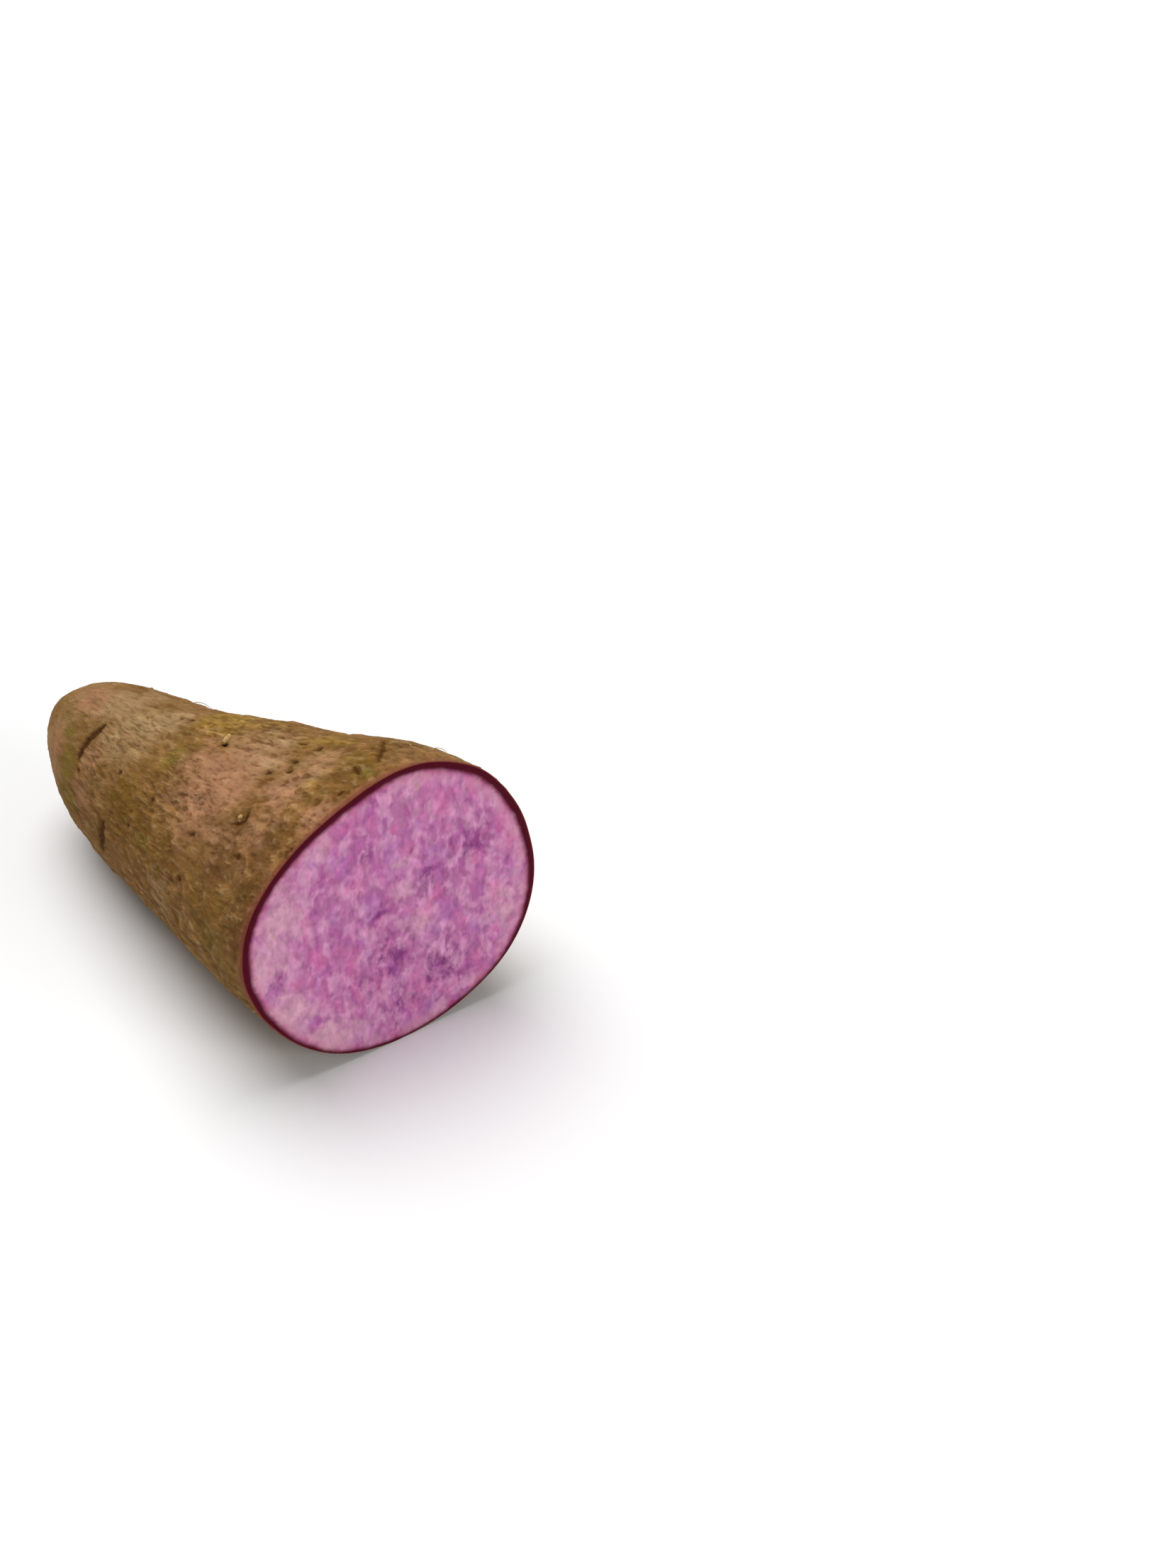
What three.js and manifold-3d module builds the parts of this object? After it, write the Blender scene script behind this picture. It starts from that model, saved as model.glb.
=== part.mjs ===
// Half of a purple yam, cut across and lying on its side.
//
// The tuber grew as one piece, so it is one closed solid. Its blunt tip points along -X and its cut
// face along +X, turned a little towards -Y. It rests on a narrow flat strip along its underside.
// The bark keeps the main marks of a dug tuber: shallow swellings, pits, two gashes, a bent crack
// and the short stubs of feeding roots. Units are millimetres and +Z is up.

import * as THREE from 'three';
import { mergeVertices } from 'three/addons/utils/BufferGeometryUtils.js';
import Module from 'manifold-3d';

const wasm = await Module();
wasm.setup();

// ---- driving dimensions -------------------------------------------------------------------------

const STATION_STEP = 26; // distance between two girth stations along the tuber
const TIP_LENGTH = 20; // length over which the tip rounds off
const BODY_LENGTH = 142; // uncut length that is modelled, longer than the half that stays

// One row for each station, from the tip on: half width, half height, and the middle's y and z.
const GIRTH_STATIONS = [
  { halfWidth: 10, halfHeight: 16.5, middleY: 3.5, middleZ: 25.5 },
  { halfWidth: 19, halfHeight: 22.5, middleY: 3.5, middleZ: 23 },
  { halfWidth: 24.5, halfHeight: 26, middleY: 1, middleZ: 26 },
  { halfWidth: 31.5, halfHeight: 30, middleY: 0, middleZ: 30 },
  { halfWidth: 38, halfHeight: 34.5, middleY: -1, middleZ: 34.5 },
  { halfWidth: 39, halfHeight: 39.5, middleY: -6.5, middleZ: 39.5 },
  { halfWidth: 40, halfHeight: 44.5, middleY: -12, middleZ: 44.5 },
];

const CUT_ALONG = 122; // where the cut crosses the tuber's middle line
const CUT_YAW = -16.5; // degrees that the cut face turns towards -Y
const CUT_PITCH = 3.5; // degrees that the cut face leans back, so that it looks up a little
const CUT_WAVE = 0.3; // how far a knife cut through firm flesh strays from flat
const CUT_BLOCK = 130; // side of the square block that takes the other half away

const FOOT_DEPTH = 0.35; // thickness flattened away under the tuber, which leaves the foot strip

const RINGS_ON_TIP = 11;
const RINGS_ON_BODY = 38;
const SIDES = 52;
const CUT_CELLS = 18;

// ---- helpers ------------------------------------------------------------------------------------

const radians = THREE.MathUtils.degToRad;

// Small seeded generator, so that every run draws the same marks.
function seededDraw(seed) {
  let state = seed;
  return (low, high) => {
    state = (state * 1664525 + 1013904223) % 4294967296;
    return low + (high - low) * (state / 4294967296);
  };
}

// Smooth curve through the stations' values of one field, at a distance along the tuber.
function stationValue(field, along) {
  const last = GIRTH_STATIONS.length - 1;
  const place = THREE.MathUtils.clamp(along / STATION_STEP, 0, last - 1e-6);
  const index = Math.floor(place);
  const share = place - index;
  const value = (i) => GIRTH_STATIONS[i][field];
  const here = value(index);
  const next = value(index + 1);
  const before = index > 0 ? value(index - 1) : 2 * here - next;
  const after = index + 2 <= last ? value(index + 2) : 2 * next - here;
  const slopeHere = (next - before) / 2;
  const slopeNext = (after - here) / 2;
  return (
    (2 * here - 2 * next + slopeHere + slopeNext) * share ** 3 +
    (-3 * here + 3 * next - 2 * slopeHere - slopeNext) * share ** 2 +
    slopeHere * share +
    here
  );
}

// Turns a closed geometry into a solid: only positions, shared corners merged, slivers dropped.
function solidFrom(geometry) {
  const bare = geometry.clone();
  bare.deleteAttribute('normal');
  bare.deleteAttribute('uv');
  const merged = mergeVertices(bare, 1e-5);
  const corners = merged.index.array;
  const triangles = [];
  for (let i = 0; i < corners.length; i += 3) {
    const [a, b, c] = [corners[i], corners[i + 1], corners[i + 2]];
    if (a !== b && b !== c && c !== a) triangles.push(a, b, c);
  }
  const mesh = new wasm.Mesh({
    numProp: 3,
    vertProperties: Float32Array.from(merged.attributes.position.array),
    triVerts: Uint32Array.from(triangles),
  });
  return new wasm.Manifold(mesh);
}

function geometryFrom(solid) {
  const mesh = solid.getMesh();
  const geometry = new THREE.BufferGeometry();
  const positions = new Float32Array(mesh.vertProperties);
  geometry.setAttribute('position', new THREE.BufferAttribute(positions, 3));
  geometry.setIndex(new THREE.BufferAttribute(new Uint32Array(mesh.triVerts), 1));
  return geometry;
}

function moveVertices(geometry, rule) {
  const position = geometry.attributes.position;
  const point = new THREE.Vector3();
  for (let i = 0; i < position.count; i += 1) {
    point.fromBufferAttribute(position, i);
    rule(point);
    position.setXYZ(i, point.x, point.y, point.z);
  }
  return geometry;
}

// ---- the tuber's skin ---------------------------------------------------------------------------

// Places on the skin are given as a distance along the tuber and an angle round it, in degrees:
// 0 looks along +Y, 90 is the top, 180 looks along -Y and 270 is the underside.

// Shallow rises and dips: place, height (negative for a dip), and how far each reaches.
const SWELLINGS = [
  { along: 26, angle: 55, height: 0.35, reach: 8, spread: 45 },
  { along: 47, angle: 57, height: -0.35, reach: 7, spread: 35 },
  { along: 66, angle: 56, height: 0.4, reach: 7, spread: 35 },
  { along: 88, angle: 51, height: -0.65, reach: 8, spread: 35 },
  { along: 117, angle: 88, height: 0.35, reach: 8, spread: 18 },
  { along: 130, angle: 305, height: 0.8, reach: 9, spread: 30 },
  { along: 88, angle: 213, height: 0.4, reach: 14, spread: 30 },
  { along: 12, angle: 205, height: -0.5, reach: 12, spread: 30 },
  { along: 55, angle: 214, height: -0.25, reach: 5, spread: 25 },
  { along: 58, angle: 350, height: 0.9, reach: 15, spread: 40 },
  { along: 92, angle: 335, height: -0.8, reach: 12, spread: 35 },
  { along: 36, angle: 310, height: -0.5, reach: 10, spread: 35 },
];

function angleBetween(a, b) {
  return Math.abs(((a - b + 540) % 360) - 180);
}

function swelling(along, angle) {
  return SWELLINGS.reduce((sum, spot) => {
    const alongShare = (along - spot.along) / spot.reach;
    const roundShare = angleBetween(angle, spot.angle) / spot.spread;
    return sum + spot.height * Math.exp(-0.5 * (alongShare ** 2 + roundShare ** 2));
  }, 0);
}

// Fine unevenness all over, from three waves that close round the tuber.
function unevenness(along, angle) {
  const turn = radians(angle);
  return (
    0.11 * Math.sin(0.31 * along + 4 * turn) +
    0.08 * Math.sin(0.47 * along - 7 * turn + 1.3) +
    0.04 * Math.sin(0.83 * along + 5 * turn + 0.4)
  );
}

// How the section departs from an ellipse: it is a little squarer where the tuber is thick.
function sectionShape(along, angle) {
  const turn = radians(angle);
  const growth = THREE.MathUtils.clamp(along / 118, 0, 1.1);
  const lobes = -0.01 * Math.cos(3 * turn) - 0.02 * Math.sin(4 * turn) - 0.01 * Math.sin(2 * turn);
  return 1 + growth * lobes;
}

function skinPoint(along, angle, roundness) {
  const turn = radians(angle);
  const shape = sectionShape(along, angle);
  const relief = swelling(along, angle) + unevenness(along, angle);
  const width = (stationValue('halfWidth', along) * shape + relief) * roundness;
  const height = (stationValue('halfHeight', along) * shape + relief) * roundness;
  return new THREE.Vector3(
    along,
    stationValue('middleY', along) + width * Math.cos(turn),
    stationValue('middleZ', along) + height * Math.sin(turn) - FOOT_DEPTH
  );
}

function tipRoundness(along) {
  const share = Math.min(along / TIP_LENGTH, 1);
  return Math.sqrt(1 - (1 - share) ** 2);
}

// A turned blank of radius 1, closed on its axis at both ends, moved out to the tuber's skin.
function makeBody() {
  const profile = [new THREE.Vector2(0, 0)];
  for (let i = 1; i <= RINGS_ON_TIP; i += 1) {
    const along = TIP_LENGTH * (1 - Math.cos((i / RINGS_ON_TIP) * (Math.PI / 2)));
    profile.push(new THREE.Vector2(tipRoundness(along), along));
  }
  for (let i = 1; i <= RINGS_ON_BODY; i += 1) {
    const along = TIP_LENGTH + ((BODY_LENGTH - TIP_LENGTH) * i) / RINGS_ON_BODY;
    profile.push(new THREE.Vector2(1, along));
  }
  profile.push(new THREE.Vector2(0, BODY_LENGTH));
  const blank = new THREE.LatheGeometry(profile, SIDES);
  moveVertices(blank, (point) => {
    const roundness = Math.hypot(point.x, point.z);
    const angle = THREE.MathUtils.radToDeg(Math.atan2(point.x, point.z));
    point.copy(skinPoint(point.y, angle, roundness));
  });
  return solidFrom(blank);
}

// ---- the cut and the foot -----------------------------------------------------------------------

// The block that takes the other half away. Its near face carries the knife's slight wandering.
function makeCutBlock() {
  const block = new THREE.BoxGeometry(CUT_BLOCK, CUT_BLOCK, CUT_BLOCK, 1, CUT_CELLS, CUT_CELLS);
  block.translate(CUT_BLOCK / 2, 0, 0);
  moveVertices(block, (point) => {
    if (point.x > 1) return;
    const broad = Math.sin(0.07 * point.y + 0.8) * Math.cos(0.055 * point.z - 0.4);
    const narrow = 0.35 * Math.sin(0.16 * point.y + 0.11 * point.z);
    point.x = CUT_WAVE * (broad + narrow);
  });
  block.rotateY(-radians(CUT_PITCH));
  block.rotateZ(radians(CUT_YAW));
  block.translate(
    CUT_ALONG,
    stationValue('middleY', CUT_ALONG),
    stationValue('middleZ', CUT_ALONG) - FOOT_DEPTH
  );
  return solidFrom(block);
}

function makeFloorBlock() {
  const block = new THREE.BoxGeometry(2 * BODY_LENGTH, BODY_LENGTH, 20);
  block.translate(BODY_LENGTH / 2, 0, -10);
  return solidFrom(block);
}

// ---- marks on the skin --------------------------------------------------------------------------

// Local axes at a place on the skin: lengthwise, round the tuber, and straight out.
function skinFrame(along, angle) {
  const at = (a, b) => skinPoint(a, b, tipRoundness(a));
  const centre = at(along, angle);
  const lengthwise = at(along + 0.5, angle).sub(at(along - 0.5, angle)).normalize();
  const sideways = at(along, angle + 1).sub(at(along, angle - 1)).normalize();
  const outward = new THREE.Vector3().crossVectors(sideways, lengthwise).normalize();
  return { centre, lengthwise, outward };
}

// Puts a small geometry, made round its own origin with +Z as outward, onto the skin.
function placeOnSkin(geometry, along, angle, heading) {
  const { centre, lengthwise, outward } = skinFrame(along, angle);
  const across = new THREE.Vector3().crossVectors(outward, lengthwise);
  const frame = new THREE.Matrix4().makeBasis(lengthwise, across, outward);
  geometry.rotateZ(radians(heading));
  geometry.applyMatrix4(frame);
  geometry.translate(centre.x, centre.y, centre.z);
  return solidFrom(geometry);
}

// An open hollow: the lower half of an ellipsoid cuts it, so its rim is at the skin.
function makeHollow({ along, angle, length, width, depth, heading = 0 }) {
  const hollow = new THREE.SphereGeometry(1, 8, 5);
  hollow.scale(length / 2, width / 2, depth);
  return placeOnSkin(hollow, along, angle, heading);
}

// A gash or crack: one long hollow for each stretch between two of its points.
function makeGash({ points, width, depth }) {
  const stretches = [];
  for (let i = 1; i < points.length; i += 1) {
    const start = skinFrame(...points[i - 1]);
    const end = skinFrame(...points[i]);
    const middle = [(points[i - 1][0] + points[i][0]) / 2, (points[i - 1][1] + points[i][1]) / 2];
    const { lengthwise, outward } = skinFrame(...middle);
    const across = new THREE.Vector3().crossVectors(outward, lengthwise);
    const run = end.centre.clone().sub(start.centre);
    const heading = THREE.MathUtils.radToDeg(Math.atan2(run.dot(across), run.dot(lengthwise)));
    const length = run.length() * 1.25;
    stretches.push(
      makeHollow({ along: middle[0], angle: middle[1], length, width, depth, heading })
    );
  }
  return stretches;
}

// The broken end of a feeding root: a short blunt peg that leans over, rooted well in.
function makeRootStub({ along, angle, heading, lean, length, radius }) {
  const sunk = 2.2;
  const stub = new THREE.CylinderGeometry(radius * 0.7, radius, length + sunk, 6);
  stub.translate(0, (length - sunk) / 2, 0);
  stub.rotateX(Math.PI / 2);
  stub.rotateY(radians(lean));
  return placeOnSkin(stub, along, angle, heading);
}

const GASHES = [
  { points: [[28.4, 115.5], [27.3, 129], [25.3, 145.5]], width: 1.5, depth: 1 },
  { points: [[42.4, 167], [41.7, 176.5], [41, 186.5]], width: 1.6, depth: 0.9 },
  { points: [[102.2, 63.5], [107.9, 75], [112.2, 81.5], [114.9, 86.5]], width: 1, depth: 0.8 },
  { points: [[111.9, 124.5], [111.5, 129]], width: 1.7, depth: 0.8 },
  { points: [[89.5, 127], [93.4, 120.5]], width: 1.5, depth: 0.9 },
  { points: [[70, 332], [71.5, 346], [70.4, 358]], width: 1.6, depth: 1 },
];

// Along, angle, length, width and depth of the larger pits.
const PITS = [
  [59.8, 135, 1.9, 1.6, 0.9],
  [78.8, 137.5, 3.4, 1.6, 1],
  [80.1, 157.5, 3, 1.8, 1],
  [54.1, 154.5, 1.6, 1.4, 0.7],
  [43.7, 132.5, 1.8, 1.6, 0.7],
  [50.4, 83.5, 2.2, 1.6, 0.8],
  [47.1, 84.5, 1.8, 1.4, 0.7],
  [86.8, 100.5, 1.6, 1.6, 0.8],
  [92.5, 97.5, 2.2, 1.9, 1],
  [91.5, 92.5, 1.8, 1.6, 0.9],
  [97.5, 136, 3.2, 2, 0.8],
  [86.1, 80.5, 2.2, 1.4, 0.7],
  [92.5, 82, 2, 1.5, 0.8],
  [67.4, 86.5, 2.4, 1.6, 0.9],
];

const STUBS = [
  { along: 65.4, angle: 90.5, heading: 205, lean: 48, length: 1.7, radius: 0.8 },
  { along: 90.8, angle: 124, heading: 200, lean: 50, length: 1.7, radius: 0.85 },
];

// Marks on the rest of the skin, drawn evenly along the tuber with a fixed seed. Pits run round the
// underside and the far side. Stubs keep to the far side and clear of the foot.
const DRAWN_PITS = 24;
const DRAWN_STUBS = 12;
const PIT_ANGLES = [205, 395];
const STUB_ANGLES = [300, 395];

function drawMarks() {
  const draw = seededDraw(41);
  const pits = [];
  for (let i = 0; i < DRAWN_PITS; i += 1) {
    const along = 14 + (94 * (i + draw(0.1, 0.9))) / DRAWN_PITS;
    const angle = draw(...PIT_ANGLES);
    pits.push([along, angle, draw(1.7, 3), draw(1.4, 1.9), draw(0.6, 1)]);
  }
  const stubs = [];
  for (let i = 0; i < DRAWN_STUBS; i += 1) {
    const along = 12 + (98 * (i + draw(0.1, 0.9))) / DRAWN_STUBS;
    const angle = draw(...STUB_ANGLES);
    const heading = draw(0, 360);
    const size = { length: draw(1.1, 1.9), radius: draw(0.6, 0.85) };
    stubs.push({ along, angle, heading, lean: draw(20, 50), ...size });
  }
  return { pits, stubs };
}

// ---- the half tuber -----------------------------------------------------------------------------

function makeYamHalf() {
  const drawn = drawMarks();
  const pits = [...PITS, ...drawn.pits].map(([along, angle, length, width, depth]) =>
    makeHollow({ along, angle, length, width, depth })
  );
  const gashes = GASHES.flatMap(makeGash);
  const stubs = [...STUBS, ...drawn.stubs].map(makeRootStub);
  let half = makeBody();
  half = stubs.reduce((solid, stub) => solid.add(stub), half);
  half = [...pits, ...gashes].reduce((solid, hollow) => solid.subtract(hollow), half);
  return half.subtract(makeCutBlock()).subtract(makeFloorBlock());
}

const geometry = geometryFrom(makeYamHalf());
geometry.computeBoundingBox();
const { min, max } = geometry.boundingBox;
geometry.translate(-(min.x + max.x) / 2, -(min.y + max.y) / 2, -min.z);

const bark = new THREE.MeshStandardMaterial({ color: 0x98704c, roughness: 0.85, metalness: 0 });

const yamHalf = new THREE.Mesh(geometry, bark);
yamHalf.name = 'yam_half';

const group = new THREE.Group();
group.add(yamHalf);

export default group;
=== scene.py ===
# %% [markdown]
# # Half a purple yam
#
# A purple yam is a tuber: a swollen root with a thin corky bark, a maroon layer just under it and
# firm mottled flesh. This notebook dresses one half of such a tuber, cut across with a knife.
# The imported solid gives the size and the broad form. Here that form is rebuilt as a fine smooth
# mesh, its bark is wrinkled, pitted and torn, and each surface gets its own material.

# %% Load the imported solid
import math

import bpy
import numpy as np
from mathutils import Matrix, Vector, noise
from mathutils.bvhtree import BVHTree


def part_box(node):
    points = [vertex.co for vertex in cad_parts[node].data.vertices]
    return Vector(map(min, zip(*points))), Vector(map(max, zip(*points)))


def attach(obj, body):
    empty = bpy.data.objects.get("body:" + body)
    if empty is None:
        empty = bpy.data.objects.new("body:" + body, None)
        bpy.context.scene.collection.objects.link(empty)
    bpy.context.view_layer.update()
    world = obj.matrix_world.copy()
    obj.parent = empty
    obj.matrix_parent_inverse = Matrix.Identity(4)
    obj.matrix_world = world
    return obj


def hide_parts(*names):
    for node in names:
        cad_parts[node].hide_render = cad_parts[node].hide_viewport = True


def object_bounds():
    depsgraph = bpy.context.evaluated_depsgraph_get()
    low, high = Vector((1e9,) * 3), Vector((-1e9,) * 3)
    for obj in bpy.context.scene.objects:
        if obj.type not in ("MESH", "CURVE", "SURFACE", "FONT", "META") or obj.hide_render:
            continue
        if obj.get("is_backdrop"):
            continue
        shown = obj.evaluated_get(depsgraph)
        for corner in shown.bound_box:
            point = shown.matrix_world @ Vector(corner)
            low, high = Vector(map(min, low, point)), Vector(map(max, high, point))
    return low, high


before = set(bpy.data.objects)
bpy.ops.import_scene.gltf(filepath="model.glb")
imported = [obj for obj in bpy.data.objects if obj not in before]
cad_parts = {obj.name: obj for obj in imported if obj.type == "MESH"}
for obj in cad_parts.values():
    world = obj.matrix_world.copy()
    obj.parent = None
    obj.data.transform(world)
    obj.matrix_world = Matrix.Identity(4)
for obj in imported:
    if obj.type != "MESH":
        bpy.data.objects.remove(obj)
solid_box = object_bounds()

MM = 0.001
NODE = "yam_half"
solid_low, solid_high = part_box(NODE)
print("solid box in mm:", [round(v / MM, 1) for v in (*solid_low, *solid_high)])

# %% [markdown]
# ## The camera
#
# A camera that looks down at 40 degrees from the cut side shows the bark and the cut face at once.
# The yam lies low on the left of an upright frame, so the camera is aimed past it, up and to the
# right, and no lens shift is needed. It is made first, because everything else is judged through it.

# %% Place the camera
CAMERA_TURN = math.radians(40)
CAMERA_RISE = math.radians(40)
CAMERA_DISTANCE = 700 * MM
FOCAL_LENGTH = 70.76  # mm
SENSOR_SIZE = 36  # mm, along the frame's longer side
FACE_POINT = Vector((51.4, 2.4, 35.65)) * MM  # just behind the middle of the cut face
AIM_RIGHT = 44.1 * MM
AIM_UP = 26.6 * MM

level = math.cos(CAMERA_RISE)
backward = Vector(
    (math.sin(CAMERA_TURN) * level, -math.cos(CAMERA_TURN) * level, math.sin(CAMERA_RISE))
)
rightward = Vector((math.cos(CAMERA_TURN), math.sin(CAMERA_TURN), 0))
upward = backward.cross(rightward)

camera_data = bpy.data.cameras.new("camera")
camera_data.lens = FOCAL_LENGTH
camera_data.sensor_width = SENSOR_SIZE
camera = bpy.data.objects.new("camera", camera_data)
bpy.context.scene.collection.objects.link(camera)
camera_place = FACE_POINT + rightward * AIM_RIGHT + upward * AIM_UP + backward * CAMERA_DISTANCE
turn = Matrix((rightward, upward, backward)).transposed().to_4x4()
camera.matrix_world = Matrix.Translation(camera_place) @ turn
bpy.context.scene.camera = camera
print("camera at", [round(v / MM) for v in camera_place], "mm")

# %% [markdown]
# ## Measuring the solid
#
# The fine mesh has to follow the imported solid, which is made of flat facets and has small pits.
# A merged copy of it is kept as a guide to shoot rays at. Its cut face is taken off and its
# open edge is drawn out past the cut, so that a ray in the plane of the cut still meets the bark.

# %% Find the plane of the cut
CUT_YAW = math.radians(-16.5)
CUT_PITCH = math.radians(3.5)
CUT_FROM_TIP = 122 * MM
CUT_MIDDLE_Y = -2.3 * MM
CUT_MIDDLE_Z = 37.6 * MM
cut_level = math.cos(CUT_PITCH)
cut_normal = Vector(
    (cut_level * math.cos(CUT_YAW), cut_level * math.sin(CUT_YAW), math.sin(CUT_PITCH))
)
tip_x = solid_low.x
cut_centre = Vector((tip_x + CUT_FROM_TIP, CUT_MIDDLE_Y, CUT_MIDDLE_Z))


def beyond_cut(point):
    """How far a point lies beyond the plane of the cut."""
    return (Vector(point) - cut_centre).dot(cut_normal)


print("the cut faces", [round(v, 3) for v in cut_normal])

# %% Make the guide shell
MERGE_DISTANCE = 0.001 * MM
CUT_WAVES = 0.6 * MM  # more than the knife's waves leave the plane
FACES_THE_CUT = 0.9  # least dot product of a cut face's normal with the cut's
GUIDE_OVERRUN = 12 * MM


def deselect_all():
    bpy.ops.object.select_all(action="DESELECT")


def make_active(piece):
    deselect_all()
    piece.select_set(True)
    bpy.context.view_layer.objects.active = piece


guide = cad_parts[NODE].copy()
guide.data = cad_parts[NODE].data.copy()
guide.parent = None
bpy.context.scene.collection.objects.link(guide)
make_active(guide)
bpy.ops.object.mode_set(mode="EDIT")
bpy.ops.mesh.select_all(action="SELECT")
bpy.ops.mesh.remove_doubles(threshold=MERGE_DISTANCE)
bpy.ops.mesh.select_all(action="DESELECT")
bpy.ops.object.mode_set(mode="OBJECT")
for face in guide.data.polygons:
    corners = [guide.data.vertices[v].co for v in face.vertices]
    in_plane = all(abs(beyond_cut(corner)) < CUT_WAVES for corner in corners)
    face.select = in_plane and face.normal.dot(cut_normal) > FACES_THE_CUT
bpy.ops.object.mode_set(mode="EDIT")
bpy.ops.mesh.delete(type="FACE")
bpy.ops.mesh.select_all(action="DESELECT")
bpy.ops.mesh.select_non_manifold()
bpy.ops.mesh.extrude_region_move(TRANSFORM_OT_translate={"value": cut_normal * GUIDE_OVERRUN})
bpy.ops.object.mode_set(mode="OBJECT")
guide_points = [v.co for v in guide.data.vertices]
guide_faces = [list(p.vertices) for p in guide.data.polygons]
guide_tree = BVHTree.FromPolygons(guide_points, guide_faces)
print("guide shell:", len(guide_points), "points,", len(guide_faces), "faces")

# %% [markdown]
# Rays from inside the shell give the tuber's middle line and its half width and half height at any
# distance from the tip. A low polynomial through them smooths out the pits that some rays fall in.

# %% Measure the girth
MIDDLE_AT_TIP = Vector((0, 5.9, 25)) * MM
TIP_LENGTH = 20 * MM  # the stretch over which the blunt tip rounds off
STATIONS = 40
LAST_STATION_GAP = 2 * MM
GIRTH_DEGREE = 6


def shell_hit(origin, direction):
    """The place where a ray meets the guide shell."""
    return guide_tree.ray_cast(origin, direction)[0]


def measure_girth(along):
    """Middle y and z, half width and half height at a distance from the tip, from four rays."""
    share = along / CUT_FROM_TIP
    middle = Vector((tip_x + along, 0, 0))
    middle.y = MIDDLE_AT_TIP.y * (1 - share) + cut_centre.y * share
    middle.z = MIDDLE_AT_TIP.z * (1 - share) + cut_centre.z * share
    top = shell_hit(middle, Vector((0, 0, 1))).z
    bottom = shell_hit(middle, Vector((0, 0, -1))).z
    middle.z = (top + bottom) / 2
    left = shell_hit(middle, Vector((0, -1, 0))).y
    right = shell_hit(middle, Vector((0, 1, 0))).y
    return (left + right) / 2, middle.z, (right - left) / 2, (top - bottom) / 2


alongs = np.linspace(TIP_LENGTH, CUT_FROM_TIP - LAST_STATION_GAP, STATIONS)
girths = np.array([measure_girth(a) for a in alongs])
girth_curves = [np.polynomial.Polynomial.fit(alongs, column, GIRTH_DEGREE) for column in girths.T]


def girth(along):
    """Middle y, middle z, half width and half height of the body before its tip is rounded off."""
    held = np.clip(along, TIP_LENGTH, CUT_FROM_TIP + GUIDE_OVERRUN)
    return [curve(held) for curve in girth_curves]


half_sizes = [round(float(v) / MM, 1) for v in girth(CUT_FROM_TIP)[2:]]
print("half width and height at the cut, mm:", half_sizes)

# %% [markdown]
# ## The blank
#
# The half tuber starts as half a ball. The ball's rings become sections of the tuber and its
# segments run lengthwise, so the faces end up even and the pole closes the blunt tip. A box or a
# remesh would also do, but they would leave the bark's faces running across its grain.

# %% Turn half a ball
SEGMENTS = 44
RINGS = 28

deselect_all()
bpy.ops.mesh.primitive_uv_sphere_add(segments=SEGMENTS, ring_count=2 * RINGS, radius=1)
yam = bpy.context.object
yam.name = "cut_yam"
bpy.ops.object.mode_set(mode="EDIT")
bpy.ops.mesh.select_all(action="SELECT")
bpy.ops.mesh.bisect(plane_co=(0, 0, 0), plane_no=(0, 0, 1), clear_outer=True, use_fill=True)
bpy.ops.object.mode_set(mode="OBJECT")
print("half ball:", len(yam.data.vertices), "points,", len(yam.data.polygons), "faces")

# %% [markdown]
# Each ring is now sent to its place along the tuber. Rings lie square to the tuber at the tip and
# lean over bit by bit, until the last one lies in the plane of the cut. Two rings are kept close
# behind it, because they hold the cut's edge crisp when the mesh is subdivided. Each point then
# travels outward from the middle of its ring until it meets the guide shell.

# %% Space the rings and lean them over
TIP_ARC = 31 * MM  # length of the bark's curve over the rounded tip
EDGE_RINGS = (2.0 * MM, 0.5 * MM, 0.0)  # how far behind the cut the last three rings lie
EVEN_RINGS_GAP = 5 * MM  # from the last of the evenly spaced rings to the cut
LEAN_START = 45 * MM


def ring_along(ring):
    """Distance from the tip of a ring's middle."""
    spaced = RINGS - len(EDGE_RINGS)
    if ring > spaced:
        return CUT_FROM_TIP - EDGE_RINGS[ring - spaced - 1]
    arc = (TIP_ARC + CUT_FROM_TIP - TIP_LENGTH - EVEN_RINGS_GAP) * ring / spaced
    if arc < TIP_ARC:
        return TIP_LENGTH * (1 - math.cos(arc / TIP_ARC * math.pi / 2))
    return TIP_LENGTH + arc - TIP_ARC


def ring_lean(along):
    """0 where rings lie square to the tuber, 1 at the cut."""
    share = min(max((along - LEAN_START) / (CUT_FROM_TIP - LEAN_START), 0), 1)
    return share * share * (3 - 2 * share)


def leant_back(along, y, z):
    """How far a leaning ring's plane moves along X for a step of y and z."""
    return -ring_lean(along) * (y * cut_normal.y + z * cut_normal.z) / cut_normal.x


def ring_ray(along, angle):
    """Middle of the ring and the way out from it at an angle, 0 along +Y and a quarter turn up."""
    y, z, half_width, half_height = girth(along)
    middle_x = tip_x + along + leant_back(along, y - cut_centre.y, z - cut_centre.z)
    out = Vector((0, half_width * math.cos(angle), half_height * math.sin(angle)))
    out.x = leant_back(along, out.y, out.z)
    return Vector((middle_x, y, z)), out.normalized()


print("rings, mm from the tip:", [round(ring_along(ring) / MM) for ring in range(1, RINGS + 1)])

# %% Send the rings out to the bark
STRAY = 0.25 * MM  # a ray that differs this much from its neighbours fell in a pit or on a stub
RIM_SLACK = 0.2 * MM

reach = np.zeros((RINGS + 1, SEGMENTS))
segment_angles = [2 * math.pi * s / SEGMENTS for s in range(SEGMENTS)]
for ring in range(1, RINGS + 1):
    for segment, angle in enumerate(segment_angles):
        middle, out = ring_ray(ring_along(ring), angle)
        reach[ring, segment] = (shell_hit(middle, out) - middle).length

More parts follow.
